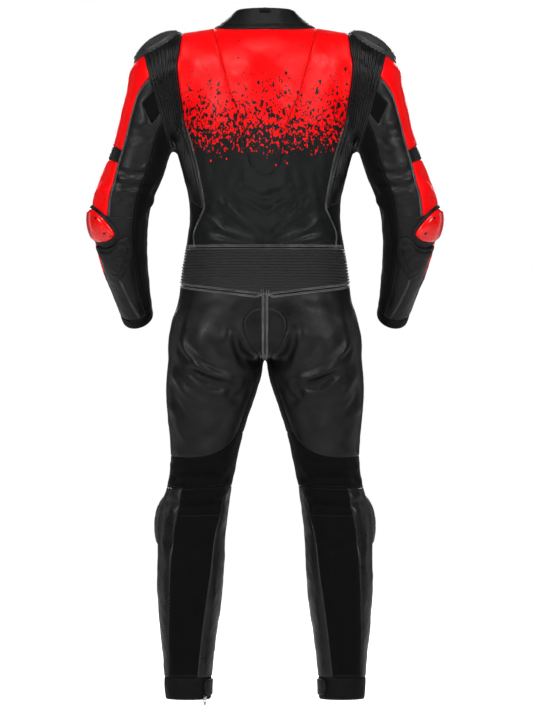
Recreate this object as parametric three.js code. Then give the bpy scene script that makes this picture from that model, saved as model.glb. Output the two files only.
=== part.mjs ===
// A one-piece leather motorcycle race suit, filled out as it is when worn, with nobody in it.
// Millimetres, +Z up, the front of the suit towards -Y and the wearer's left side towards +X.
// The origin lies on the centre line, inside the neck, at the height of the collar seam.
import * as THREE from 'three';

// Thickness of each cloth and the free space along each seam.
const leatherWall = 2.2;
const stretchWall = 1.8;
const bandWall = 2.6;
const seamGap = 0.3;

// Heights of the seams that run round the suit.
const waistSeam = -474;
const bandSideBottom = -549;
const bandMiddleBottom = -577;
const zipBottom = -632;

// Horizontal sections of the trunk: half width, and the y of the back and of the front.
const trunkSections = [
  { z: -40, half: 150, back: 84, front: -62 },
  { z: -90, half: 172, back: 102, front: -92 },
  { z: -150, half: 184, back: 118, front: -114 },
  { z: -210, half: 187, back: 120, front: -126 },
  { z: -270, half: 184, back: 111, front: -128 },
  { z: -318, half: 174, back: 101, front: -123 },
  { z: -370, half: 162, back: 91, front: -114 },
  { z: -421, half: 161, back: 84, front: -107 },
  { z: -472, half: 169, back: 84, front: -103 },
  { z: -524, half: 177, back: 92, front: -102 },
  { z: -575, half: 183, back: 108, front: -102 },
  { z: -626, half: 193, back: 122, front: -101 },
  { z: -677, half: 203, back: 128, front: -96 },
  { z: -729, half: 206, back: 122, front: -88 },
].map((s) => ({ z: s.z, half: s.half, x: 0, y: (s.back + s.front) / 2, deep: (s.back - s.front) / 2 }));

// Horizontal sections of a leg: centre x and y, half width and half depth.
const legSections = [
  { z: -600, x: 98, half: 84, y: 6, deep: 96 },
  { z: -660, x: 104, half: 92, y: 10, deep: 106 },
  { z: -729, x: 107, half: 101, y: 8, deep: 108 },
  { z: -780, x: 115, half: 96, y: 1, deep: 101 },
  { z: -831, x: 122, half: 86, y: -5, deep: 93 },
  { z: -883, x: 127, half: 76, y: -9, deep: 86 },
  { z: -934, x: 132, half: 70, y: -11, deep: 80 },
  { z: -985, x: 141, half: 69, y: -13, deep: 77 },
  { z: -1036, x: 152, half: 73, y: -13, deep: 77 },
  { z: -1088, x: 157, half: 72, y: -8, deep: 78 },
  { z: -1139, x: 158, half: 71, y: 1, deep: 78 },
  { z: -1190, x: 160, half: 70, y: 9, deep: 75 },
  { z: -1241, x: 161, half: 66, y: 16, deep: 70 },
  { z: -1293, x: 163, half: 60, y: 22, deep: 64 },
  { z: -1344, x: 163, half: 54, y: 27, deep: 58 },
  { z: -1396, x: 164, half: 50, y: 30, deep: 53 },
  { z: -1450, x: 163, half: 48, y: 31, deep: 51 },
];

// Horizontal sections of an arm, in the same columns.
const armSections = [
  { z: -105, x: 213, half: 73, y: 8, deep: 66 },
  { z: -167, x: 232, half: 71, y: 8, deep: 70 },
  { z: -220, x: 248, half: 67, y: 9, deep: 71 },
  { z: -270, x: 266, half: 64, y: 9, deep: 69 },
  { z: -318, x: 283, half: 66, y: 10, deep: 67 },
  { z: -370, x: 303, half: 64, y: 8, deep: 66 },
  { z: -421, x: 309, half: 59, y: -4, deep: 66 },
  { z: -472, x: 307, half: 54, y: -30, deep: 65 },
  { z: -524, x: 299, half: 48, y: -62, deep: 58 },
  { z: -575, x: 287, half: 40, y: -93, deep: 51 },
  { z: -626, x: 274, half: 35, y: -122, deep: 47 },
  { z: -690, x: 257, half: 33, y: -158, deep: 45 },
];

// Solid forms that fill out the shoulders and the root of the neck.
const yoke = { reach: 172, y: 8, middleZ: -66, endZ: -80, middleRadius: 62, endRadius: 66 };
const shoulderBall = { x: 212, y: 8, z: -105, radius: 70 };
const neckRoot = { y: 18, z: -70, wide: 150, deep: 92, high: 78 };

// How softly the forms run into each other.
const softness = { trunkTop: 60, trunkBottom: 50, neck: 30, yoke: 50, arm: 30, ball: 26, legs: 16, hips: 26 };

// Sleeve rings: the ends of each ring on the outline seen from behind, its middle y,
// and how far it leans back out of the horizontal. Ring 0 is the armhole, ring 11 the cuff seam and the cuff ends before ring 12.
const sleeveRings = [
  { ring: 0, outX: 258, outZ: -58, inX: 198, inZ: -272, y: 8, pitch: 0 },
  { ring: 1, outX: 288, outZ: -112, inX: 204, inZ: -283, y: 8, pitch: 0 },
  { ring: 2, outX: 307, outZ: -172, inX: 210, inZ: -295, y: 8, pitch: 0 },
  { ring: 3, outX: 322, outZ: -228, inX: 216, inZ: -309, y: 9, pitch: 0 },
  { ring: 4, outX: 343, outZ: -286, inX: 225, inZ: -328, y: 9, pitch: 2 },
  { ring: 5, outX: 362, outZ: -340, inX: 237, inZ: -359, y: 9, pitch: 6 },
  { ring: 6, outX: 368, outZ: -386, inX: 245, inZ: -392, y: 5, pitch: 14 },
  { ring: 7, outX: 368, outZ: -430, inX: 251, inZ: -424, y: -5, pitch: 22 },
  { ring: 8, outX: 361, outZ: -480, inX: 252, inZ: -466, y: -29, pitch: 29 },
  { ring: 9, outX: 349, outZ: -528, inX: 251, inZ: -510, y: -57, pitch: 32 },
  { ring: 10, outX: 334, outZ: -574, inX: 249, inZ: -555, y: -86, pitch: 32 },
  { ring: 11, outX: 313, outZ: -614, inX: 247, inZ: -592, y: -112, pitch: 32 },
  { ring: 12, outX: 299, outZ: -643, inX: 243, inZ: -617, y: -136, pitch: 32 },
];
const cuffRing = 11.55;

// Angles round a sleeve, from the outer line through the back, the inner line and the front.
// The first list holds at the armhole, the second from ring 1.3 down.
const armholeAngles = [-48, -32, -16, 0, 24, 48, 72, 84, 96, 108, 122, 144, 162, 180, 198, 216, 237, 258, 276, 294, 312];
const sleeveAngles = [-48, -32, -16, 0, 16, 32, 48, 66, 84, 101, 118, 144, 162, 180, 198, 216, 237, 258, 276, 294, 312];
const ridgeColumn = 3;
const stripeEdge = 6;
const backEdge = 10;
const armpitColumn = 13;
const forearmStripeEdge = 4;
const sleeveRows = [0, 0.5, 1, 1.6, 2.3, 2.9, 3.4, 3.9, 4.6, 5.3, 6.1, 6.8, 7.6, 8.6, 9.8, 11];
const bandTop = 6;
const bandBottom = 7;
const elbowRow = 10;

// The collar seam from the middle of the back (0) past the shoulder line (3) to the front (6),
// and the collar's top edge in the same steps.
const neckSeam = [
  { at: 0, x: 0, y: 80, z: -4 },
  { at: 1, x: 48, y: 74, z: -3 },
  { at: 2, x: 88, y: 50, z: -3 },
  { at: 3, x: 110, y: 8, z: -6 },
  { at: 4, x: 94, y: -28, z: -18 },
  { at: 5, x: 52, y: -56, z: -34 },
  { at: 6, x: 0, y: -68, z: -42 },
];
const collarTop = [
  { at: 0, x: 0, y: 50, z: 38 },
  { at: 1, x: 33, y: 46, z: 37 },
  { at: 2, x: 57, y: 32, z: 35 },
  { at: 3, x: 65, y: 8, z: 30 },
  { at: 4, x: 56, y: -18, z: 20 },
  { at: 5, x: 32, y: -38, z: 8 },
  { at: 6, x: 0, y: -46, z: 2 },
];

// Seams of the back by row, on the wearer's left: z on the middle line, the hump seam and the side seam
// of the leather. Row 0 is the shoulder line, row 10 the armpit and row 16 the waist.
const backRows = [
  { row: 0, middleZ: -4, humpX: 110, humpZ: -6, seamX: 174, seamZ: -28, sideZ: 0 },
  { row: 1, middleZ: -32, humpX: 105, humpZ: -32, seamX: 180, seamZ: -52, sideZ: 0 },
  { row: 2, middleZ: -68, humpX: 96, humpZ: -68, seamX: 185, seamZ: -85, sideZ: 0 },
  { row: 3, middleZ: -106, humpX: 86, humpZ: -106, seamX: 183, seamZ: -118, sideZ: 0 },
  { row: 4, middleZ: -136, humpX: 78, humpZ: -136, seamX: 180, seamZ: -142, sideZ: 0 },
  { row: 5, middleZ: -160, humpX: 69, humpZ: -160, seamX: 177, seamZ: -162, sideZ: 0 },
  { row: 6, middleZ: -184, humpX: 58, humpZ: -184, seamX: 174, seamZ: -184, sideZ: 0 },
  { row: 7, middleZ: -210, humpX: 49, humpZ: -208, seamX: 171, seamZ: -210, sideZ: 0 },
  { row: 8, middleZ: -246, humpX: 45, humpZ: -240, seamX: 162, seamZ: -243, sideZ: 0 },
  { row: 9, middleZ: -284, humpX: 41, humpZ: -268, seamX: 154, seamZ: -272, sideZ: 0 },
  { row: 10, middleZ: -320, humpX: 31, humpZ: -300, seamX: 147, seamZ: -302, sideZ: 0 },
  { row: 11, middleZ: -344, humpX: 34, humpZ: -334, seamX: 141, seamZ: -332, sideZ: -304 },
  { row: 12, middleZ: -370, humpX: 38, humpZ: -364, seamX: 136, seamZ: -360, sideZ: -336 },
  { row: 13, middleZ: -396, humpX: 42, humpZ: -392, seamX: 133, seamZ: -388, sideZ: -368 },
  { row: 14, middleZ: -422, humpX: 47, humpZ: -420, seamX: 142, seamZ: -410, sideZ: -400 },
  { row: 15, middleZ: -448, humpX: 50, humpZ: -448, seamX: 154, seamZ: -441, sideZ: -436 },
  { row: 16, middleZ: waistSeam, humpX: 52, humpZ: waistSeam, seamX: 153, seamZ: waistSeam, sideZ: waistSeam },
];
const humpEnd = 10;
const accordionEnd = 13;
const armpitRow = 10;
const sideY = 4;
const ridgeY = 8;

// Lines of the front by row: z on the middle line, and the line down from the shoulder's neck end.
const frontRows = [
  { row: 0, middleZ: -42, lineX: 110, lineZ: -6 },
  { row: 1, middleZ: -62, lineX: 113, lineZ: -44 },
  { row: 2, middleZ: -84, lineX: 115, lineZ: -70 },
  { row: 3, middleZ: -106, lineX: 115, lineZ: -96 },
  { row: 4, middleZ: -130, lineX: 114, lineZ: -122 },
  { row: 5, middleZ: -154, lineX: 112, lineZ: -148 },
  { row: 6, middleZ: -180, lineX: 110, lineZ: -174 },
  { row: 7, middleZ: -206, lineX: 108, lineZ: -202 },
  { row: 8, middleZ: -234, lineX: 105, lineZ: -232 },
  { row: 9, middleZ: -264, lineX: 102, lineZ: -260 },
  { row: 10, middleZ: -292, lineX: 100, lineZ: -286 },
  { row: 11, middleZ: -320, lineX: 97, lineZ: -314 },
  { row: 12, middleZ: -348, lineX: 94, lineZ: -343 },
  { row: 13, middleZ: -379, lineX: 92, lineZ: -374 },
  { row: 14, middleZ: -411, lineX: 90, lineZ: -406 },
  { row: 15, middleZ: -444, lineX: 90, lineZ: -440 },
  { row: 16, middleZ: waistSeam, lineX: 90, lineZ: waistSeam },
  { row: 17, middleZ: -499, lineX: 92, lineZ: -499 },
  { row: 18, middleZ: -524, lineX: 94, lineZ: -524 },
  { row: 19, middleZ: bandSideBottom, lineX: 96, lineZ: bandSideBottom },
];
const zipHalf = 12;

// Seams of a leg by row. Down to the crotch row the back and front lines run on the middle of the body and
// seam is the x of the line above the calf panel's outer edge; below it the lines are angles round the leg.
const upperRows = [
  { row: 0, sideZ: bandSideBottom, backZ: bandMiddleBottom, frontZ: bandSideBottom, seamX: 155, seamZ: -557 },
  { row: 1, sideZ: -577, backZ: -604, frontZ: -577, seamX: 160, seamZ: -586 },
  { row: 2, sideZ: -605, backZ: -630, frontZ: -605, seamX: 163, seamZ: -614 },
  { row: 3, sideZ: -634, backZ: -652, frontZ: zipBottom, seamX: 165, seamZ: -642 },
  { row: 4, sideZ: -663, backZ: -674, frontZ: -661, seamX: 167, seamZ: -670 },
  { row: 5, sideZ: -692, backZ: -692, frontZ: -689, seamX: 168, seamZ: -698 },
  { row: 6, sideZ: -721, backZ: -722, frontZ: -714, seamX: 168, seamZ: -726 },
];
const lowerRows = [
  { row: 7, sideZ: -752, seamZ: -757, seam: 56, backZ: -750, back: 152, frontZ: -748, front: 212, bend: 1 },
  { row: 8, sideZ: -785, seamZ: -790, seam: 56, backZ: -770, back: 153, frontZ: -771, front: 212, bend: 1 },
  { row: 9, sideZ: -820, seamZ: -824, seam: 57, backZ: -792, back: 152, frontZ: -800, front: 214, bend: 1.3 },
  { row: 10, sideZ: -866, seamZ: -869, seam: 58, backZ: -824, back: 150, frontZ: -834, front: 216, bend: 2 },
  { row: 11, sideZ: -916, seamZ: -919, seam: 59, backZ: -862, back: 147, frontZ: -872, front: 218, bend: 3 },
  { row: 12, sideZ: -940, seamZ: -942, seam: 60, backZ: -912, back: 145, frontZ: -912, front: 220, bend: 2 },
  { row: 13, sideZ: -964, seamZ: -964, seam: 61, backZ: -952, back: 144, frontZ: -950, front: 222, bend: 1 },
  { row: 14, sideZ: -984, seamZ: -984, seam: 62, backZ: -980, back: 143, frontZ: -980, front: 223, bend: 1 },
  { row: 15, sideZ: -1004, seamZ: -1004, seam: 63, backZ: -1002, back: 142, frontZ: -1002, front: 224, bend: 1 },
  { row: 16, sideZ: -1022, seamZ: -1022, seam: 64, backZ: -1022, back: 142, frontZ: -1022, front: 225, bend: 1 },
  { row: 17, sideZ: -1040, seamZ: -1040, seam: 64, backZ: -1040, back: 141, frontZ: -1040, front: 226, bend: 1 },
  { row: 18, sideZ: -1078, seamZ: -1078, seam: 61, backZ: -1078, back: 133, frontZ: -1078, front: 226, bend: 1 },
  { row: 19, sideZ: -1124, seamZ: -1124, seam: 58, backZ: -1124, back: 128, frontZ: -1124, front: 226, bend: 1 },
  { row: 20, sideZ: -1174, seamZ: -1174, seam: 56, backZ: -1174, back: 124, frontZ: -1174, front: 226, bend: 1 },
  { row: 21, sideZ: -1228, seamZ: -1228, seam: 53, backZ: -1228, back: 120, frontZ: -1228, front: 226, bend: 1 },
  { row: 22, sideZ: -1286, seamZ: -1286, seam: 49, backZ: -1286, back: 118, frontZ: -1286, front: 226, bend: 1 },
  { row: 23, sideZ: -1338, seamZ: -1338, seam: 44, backZ: -1338, back: 115, frontZ: -1338, front: 226, bend: 1 },
  { row: 24, sideZ: -1385, seamZ: -1385, seam: 40, backZ: -1385, back: 113, frontZ: -1385, front: 226, bend: 1 },
  { row: 25, sideZ: -1432, seamZ: -1432, seam: 40, backZ: -1432, back: 113, frontZ: -1432, front: 226, bend: 1 },
];
const crotchRow = 6;
const crotchBackY = 48;
const crotchFrontY = -44;
const thighRow = 11;
const kneeRow = 17;
const hemRow = 24;
const hemEnd = 25;

// Columns in each part of a row.
const humpColumns = 4;
const backColumns = 3;
const sideColumns = 3;
const accordionRibs = 13;
const frontColumns = 4;
const besideColumns = 3;
const gussetColumns = 5;
const waistRibs = 14;
const rib = { accordion: 2.4, waist: 2 };

// Largest folds of the cloth: a line from a to b on one side of the suit, its width, and how far it stands out.
const folds = [
  { a: [150, 100, -742], b: [62, 78, -792], width: 15, out: -7 },
  { a: [172, 84, -702], b: [92, 96, -772], width: 13, out: 4 },
  { a: [188, 62, -770], b: [96, 84, -826], width: 15, out: -5 },
  { a: [196, 40, -812], b: [120, 82, -850], width: 14, out: 4 },
  { a: [196, 30, -941], b: [72, 50, -948], width: 12, out: 4 },
  { a: [198, 36, -966], b: [74, 40, -972], width: 11, out: -5 },
  { a: [206, 36, -990], b: [80, 40, -997], width: 12, out: 5 },
  { a: [214, 36, -1016], b: [84, 44, -1020], width: 11, out: -4 },
  { a: [352, 40, -322], b: [232, 30, -352], width: 13, out: -4 },
  { a: [352, 50, -346], b: [238, 20, -376], width: 12, out: 4 },
  { a: [350, 48, -371], b: [244, 10, -399], width: 12, out: -5 },
  { a: [290, -66, -380], b: [300, -88, -452], width: 16, out: -5 },
  { a: [236, 60, -1090], b: [130, 80, -1112], width: 16, out: -3 },
  { a: [110, 86, -425], b: [0, 86, -440], width: 16, out: -3 },
  { a: [150, -70, -425], b: [20, -110, -440], width: 18, out: 3 },
];

const clamp = (v, low, high) => Math.min(high, Math.max(low, v));
const mix = (a, b, t) => a + (b - a) * t;
const smooth = (t) => clamp(t, 0, 1) ** 2 * (3 - 2 * clamp(t, 0, 1));
const radians = THREE.MathUtils.degToRad;
const vector = (x, y, z) => new THREE.Vector3(x, y, z);
const mirrored = (p) => vector(-p.x, p.y, p.z);
const steps = (from, to, count) => Array.from({ length: count + 1 }, (_, i) => mix(from, to, i / count));

// One row of a table at any value of its key column, on a smooth curve through the rows.
function tableAt(table, key, at) {
  const last = table.length - 1;
  const sign = Math.sign(table[last][key] - table[0][key]);
  if (sign * (at - table[0][key]) <= 0) return table[0];
  if (sign * (at - table[last][key]) >= 0) return table[last];
  let i = 0;
  while (sign * (table[i + 1][key] - at) < 0) i += 1;
  const [a, b, c, d] = [table[Math.max(i - 1, 0)], table[i], table[i + 1], table[Math.min(i + 2, last)]];
  const span = c[key] - b[key];
  const t = (at - b[key]) / span;
  const row = {};
  for (const column of Object.keys(b)) {
    const into = ((c[column] - a[column]) / (c[key] - a[key])) * span;
    const away = ((d[column] - b[column]) / (d[key] - b[key])) * span;
    row[column] = (2 * t ** 3 - 3 * t ** 2 + 1) * b[column] + (t ** 3 - 2 * t ** 2 + t) * into
      + (3 * t ** 2 - 2 * t ** 3) * c[column] + (t ** 3 - t ** 2) * away;
  }
  return row;
}

const softMin = (a, b, k) => Math.min(a, b) - (Math.max(k - Math.abs(a - b), 0) / k) ** 2 * k / 4;
const softMax = (a, b, k) => -softMin(-a, -b, k);

// Distance outside a tube of oval sections, measured level from its centre line.
function tubeDistance(x, y, z, sections, squareness) {
  const s = tableAt(sections, 'z', z);
  const dx = Math.abs(x - s.x);
  const dy = Math.abs(y - s.y);
  const level = ((dx / s.half) ** squareness + (dy / s.deep) ** squareness) ** (1 / squareness);
  const r = Math.hypot(dx, dy);
  return level < 1e-4 ? -Math.min(s.half, s.deep) : r - r / level;
}

function sideDistance(x, y, z) {
  const tube = softMax(tubeDistance(x, y, z, armSections, 2), z - shoulderBall.z - 10, 20);
  const arm = softMax(tube, -700 - z, 10);
  const ball = Math.hypot(x - shoulderBall.x, y - shoulderBall.y, z - shoulderBall.z) - shoulderBall.radius;
  return softMin(arm, ball, softness.ball);
}

function legDistance(x, y, z) {
  return softMax(tubeDistance(x, y, z, legSections, 2.1), z + 610, 30);
}

// How far a point is outside the outer face of the whole suit; below zero inside it.
function suitDistance(p) {
  const { x, y, z } = p;
  const level = tubeDistance(x, y, z, trunkSections, 2.3);
  const trunk = softMax(softMax(level, z + 48, softness.trunkTop), -700 - z, softness.trunkBottom);
  const along = clamp(Math.abs(x) / yoke.reach, 0, 1);
  const past = Math.max(Math.abs(x) - yoke.reach, 0);
  const yokeForm = Math.hypot(past, y - yoke.y, z - mix(yoke.middleZ, yoke.endZ, along))
    - mix(yoke.middleRadius, yoke.endRadius, along);
  const inRoot = Math.hypot(x / neckRoot.wide, (y - neckRoot.y) / neckRoot.deep, (z - neckRoot.z) / neckRoot.high);
  const root = (inRoot - 1) * neckRoot.high;
  const shoulders = softMin(yokeForm, root, softness.neck);
  const top = softMin(trunk, shoulders, softness.yoke);
  const body = softMin(top, sideDistance(Math.abs(x), y, z), softness.arm);
  const legs = softMin(legDistance(x, y, z), legDistance(-x, y, z), softness.legs);
  return softMin(body, legs, softness.hips);
}

function outward(p) {
  const h = 0.5;
  const slope = (dx, dy, dz) => suitDistance(vector(p.x + dx, p.y + dy, p.z + dz))
    - suitDistance(vector(p.x - dx, p.y - dy, p.z - dz));
  return vector(slope(h, 0, 0), slope(0, h, 0), slope(0, 0, h)).divideScalar(2 * h);
}

// The nearest point of the suit's outer face, or the nearest at the same height.
function settle(p, level = false) {
  const at = p.clone();
  for (let i = 0; i < 14; i += 1) {
    const g = outward(at);
    if (level) g.z = 0;
    at.addScaledVector(g, clamp(-suitDistance(at) / g.lengthSq(), -30, 30));
  }
  return at;
}

// Where a ray from inside the suit leaves it.
function shoot(from, along) {
  const at = (r) => from.clone().addScaledVector(along, r);
  let far = 8;
  while (suitDistance(at(far)) < 0 && far < 400) far += 6;
  let near = far - 8;
  for (let i = 0; i < 24; i += 1) {
    const middle = (near + far) / 2;
    if (suitDistance(at(middle)) < 0) near = middle;
    else far = middle;
  }
  return at(near);
}

// How far the folds push the cloth at a point.
function foldAt(p) {
  const here = vector(Math.abs(p.x), p.y, p.z);
  let out = 0;
  for (const fold of folds) {
    const a = vector(...fold.a);
    const b = vector(...fold.b);
    const line = new THREE.Line3(a, b);
    const near = line.closestPointToPoint(here, true, vector(0, 0, 0));
    out += fold.out * Math.exp(-((near.distanceTo(here) / fold.width) ** 2));
  }
  return out;
}

// Direct ways to a point of the suit.
const legPoint = (z, angle) => {
  const s = tableAt(legSections, 'z', z);
  return shoot(vector(s.x, s.y, z), vector(Math.cos(radians(angle)), Math.sin(radians(angle)), 0));
};
const behindAt = (x, z) => shoot(vector(x, 0, z), vector(0, 1, 0));
const beforeAt = (x, z) => shoot(vector(x, -5, z), vector(0, -1, 0));
const besideAt = (y, z) => shoot(vector(0, y, z), vector(1, 0, 0));
const ridgeAt = (x) => shoot(vector(x, ridgeY, -100), vector(0, 0, 1));
const neckPoint = (at) => {
  const s = tableAt(neckSeam, 'at', at);
  return at === 3 ? ridgeAt(s.x) : settle(vector(s.x, s.y, s.z));
};

function sleeveFrame(ring) {
  const s = tableAt(sleeveRings, 'ring', ring);
  const middle = vector((s.outX + s.inX) / 2, s.y, (s.outZ + s.inZ) / 2);
  const across = vector(s.outX - s.inX, 0, s.outZ - s.inZ).normalize();
  const up = vector(-across.z, 0, across.x);
  const back = vector(0, Math.cos(radians(s.pitch)), 0).addScaledVector(up, -Math.sin(radians(s.pitch)));
  return { middle, across, back };
}
const sleeveAngle = (ring, column) => mix(armholeAngles[column], sleeveAngles[column], smooth(ring / 1.3));
function sleevePoint(ring, angle) {
  const { middle, across, back } = sleeveFrame(ring);
  const turn = radians(angle);
  return shoot(middle, across.clone().multiplyScalar(Math.cos(turn)).addScaledVector(back, Math.sin(turn)));
}

// A point between two others, going round an upright axis and then onto the suit.
function between(a, b, t, level, axis = { x: 0, y: 0 }) {
  const polar = (p) => [Math.atan2(p.y - axis.y, p.x - axis.x), Math.hypot(p.x - axis.x, p.y - axis.y)];
  const [angleA, radiusA] = polar(a);
  const [angleB, radiusB] = polar(b);
  let turn = angleB - angleA;
  if (turn > Math.PI) turn -= 2 * Math.PI;
  if (turn < -Math.PI) turn += 2 * Math.PI;
  const angle = angleA + turn * t;
  const radius = mix(radiusA, radiusB, t);
  return settle(vector(axis.x + radius * Math.cos(angle), axis.y + radius * Math.sin(angle), mix(a.z, b.z, t)), level);
}

// A grid of points on the suit, rows downwards, with the outward direction at each.
function gridOf(points) {
  const normals = points.map((row) => row.map((p) => outward(p).normalize()));
  const folded = points.map((row, i) => row.map((p, j) => p.clone().addScaledVector(normals[i][j], foldAt(p))));
  return { points: folded, normals };
}
const mirroredGrid = (grid) => ({
  points: grid.points.map((row) => row.map(mirrored)),
  normals: grid.normals.map((row) => row.map(mirrored)),
});
// Joins a grid that starts on the centre line to its mirror image.
const acrossMiddle = (rows) => rows.map((row) => [...row.slice(1).reverse().map(mirrored), ...row]);
const joinedAcross = (grid) => ({ points: acrossMiddle(grid.points), normals: acrossMiddle(grid.normals) });
const partOf = (grid, top, bottom, left, right) => ({
  points: grid.points.slice(top, bottom + 1).map((row) => row.slice(left, right + 1)),
  normals: grid.normals.slice(top, bottom + 1).map((row) => row.slice(left, right + 1)),
});

const suit = new THREE.Group();
suit.name = 'race_suit';

const finishes = {
  black_leather: { color: 0x17171a, roughness: 0.48, metalness: 0 },
  red_leather: { color: 0xe3111c, roughness: 0.45, metalness: 0 },
  stretch_cloth: { color: 0x0d0d0e, roughness: 0.85, metalness: 0 },
  black_armour: { color: 0x242628, roughness: 0.55, metalness: 0 },
  red_armour: { color: 0xe0121c, roughness: 0.28, metalness: 0 },
  zip_metal: { color: 0xb9bcc0, roughness: 0.3, metalness: 1 },
  zip_tape: { color: 0x101011, roughness: 0.8, metalness: 0 },
};
const materials = Object.fromEntries(Object.entries(finishes).map(([name, finish]) => {
  const material = new THREE.MeshStandardMaterial(finish);
  material.name = name;
  return [name, material];
}));

function addMesh(name, finish, positions, triangles, parent = suit) {
  const geometry = new THREE.BufferGeometry();
  geometry.setAttribute('position', new THREE.Float32BufferAttribute(positions.flatMap((p) => [p.x, p.y, p.z]), 3));
  geometry.setIndex(triangles.flat());
  geometry.computeVertexNormals();
  const mesh = new THREE.Mesh(geometry, materials[finish]);
  mesh.name = name;
  parent.add(mesh);
  return mesh;
}

// Makes a closed wall from the cells of a grid that isIn picks. The wall's outer face is lifted by
// outer(row, column) and its inner face by inner, and every edge is drawn back by half a seam gap.
function addWall(name, finish, grid, { outer = () => 0, inner, isIn = () => true, gap = seamGap }) {
  const { points, normals } = grid;
  const rows = points.length - 1;
  const columns = points[0].length - 1;
  const has = (i, j) => i >= 0 && j >= 0 && i < rows && j < columns && isIn(i, j);
  const key = (i, j) => i * (columns + 1) + j;
  const drawnBack = new Map();
  const rim = [];
  const addEdge = (a, b, cell) => {
    const [pa, pb] = [points[a[0]][a[1]], points[b[0]][b[1]]];
    const centre = vector(0, 0, 0);
    for (const [i, j] of [[0, 0], [0, 1], [1, 0], [1, 1]]) centre.add(points[cell[0] + i][cell[1] + j]);
    const along = pb.clone().sub(pa).normalize();
    const inwards = centre.divideScalar(4).sub(pa);
    inwards.addScaledVector(along, -inwards.dot(along)).normalize();
    for (const corner of [a, b]) {
      const at = key(...corner);
      drawnBack.set(at, [...(drawnBack.get(at) ?? []), inwards]);
    }
    rim.push([key(...a), key(...b)]);
  };
  const cells = [];
  for (let i = 0; i < rows; i += 1) {
    for (let j = 0; j < columns; j += 1) {
      if (!has(i, j)) continue;
      cells.push([i, j]);
      if (!has(i - 1, j)) addEdge([i, j], [i, j + 1], [i, j]);
      if (!has(i, j + 1)) addEdge([i, j + 1], [i + 1, j + 1], [i, j]);
      if (!has(i + 1, j)) addEdge([i + 1, j + 1], [i + 1, j], [i, j]);
      if (!has(i, j - 1)) addEdge([i + 1, j], [i, j], [i, j]);
    }
  }
  const index = new Map();
  const positions = [];
  const place = (i, j) => {
    const at = key(i, j);
    if (index.has(at)) return index.get(at);
    const p = points[i][j].clone();
    const ways = drawnBack.get(at);
    if (ways) {
      const way = ways.reduce((sum, w) => sum.add(w), vector(0, 0, 0)).normalize();
      p.addScaledVector(way, gap / 2 / Math.max(way.dot(ways[0]), 0.5));
    }
    const n = normals[i][j];
    index.set(at, positions.length);
    positions.push(p.clone().addScaledVector(n, outer(i, j)), p.clone().addScaledVector(n, inner(i, j)));
    return index.get(at);
  };
  const triangles = [];
  const agreement = cells.reduce((sum, [i, j]) => {
    const rightwards = points[i][j + 1].clone().sub(points[i][j]);
    const downwards = points[i + 1][j].clone().sub(points[i][j]);
    return sum + downwards.cross(rightwards).dot(normals[i][j]);
  }, 0);
  const facesOut = agreement > 0;
  const add = (a, b, c) => triangles.push(facesOut ? [a, b, c] : [a, c, b]);
  for (const [i, j] of cells) {
    const [a, b, c, d] = [place(i, j), place(i, j + 1), place(i + 1, j + 1), place(i + 1, j)];
    const short = positions[a].distanceTo(positions[c]) < positions[b].distanceTo(positions[d]);
    for (const [u, v, w] of short ? [[a, d, c], [a, c, b]] : [[a, d, b], [d, c, b]]) {
      add(u, v, w);
      add(u + 1, w + 1, v + 1);
    }
  }
  for (const [from, to] of rim) {
    const [a, b] = [index.get(from), index.get(to)];
    add(a, b, b + 1);
    add(a, b + 1, a + 1);
  }
  return addMesh(name, finish, positions, triangles);
}
const inwardsBy = (thickness) => ({ inner: () => -thickness });

const everyStep = (last, count) => steps(0, last, count).map(Math.round);

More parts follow.
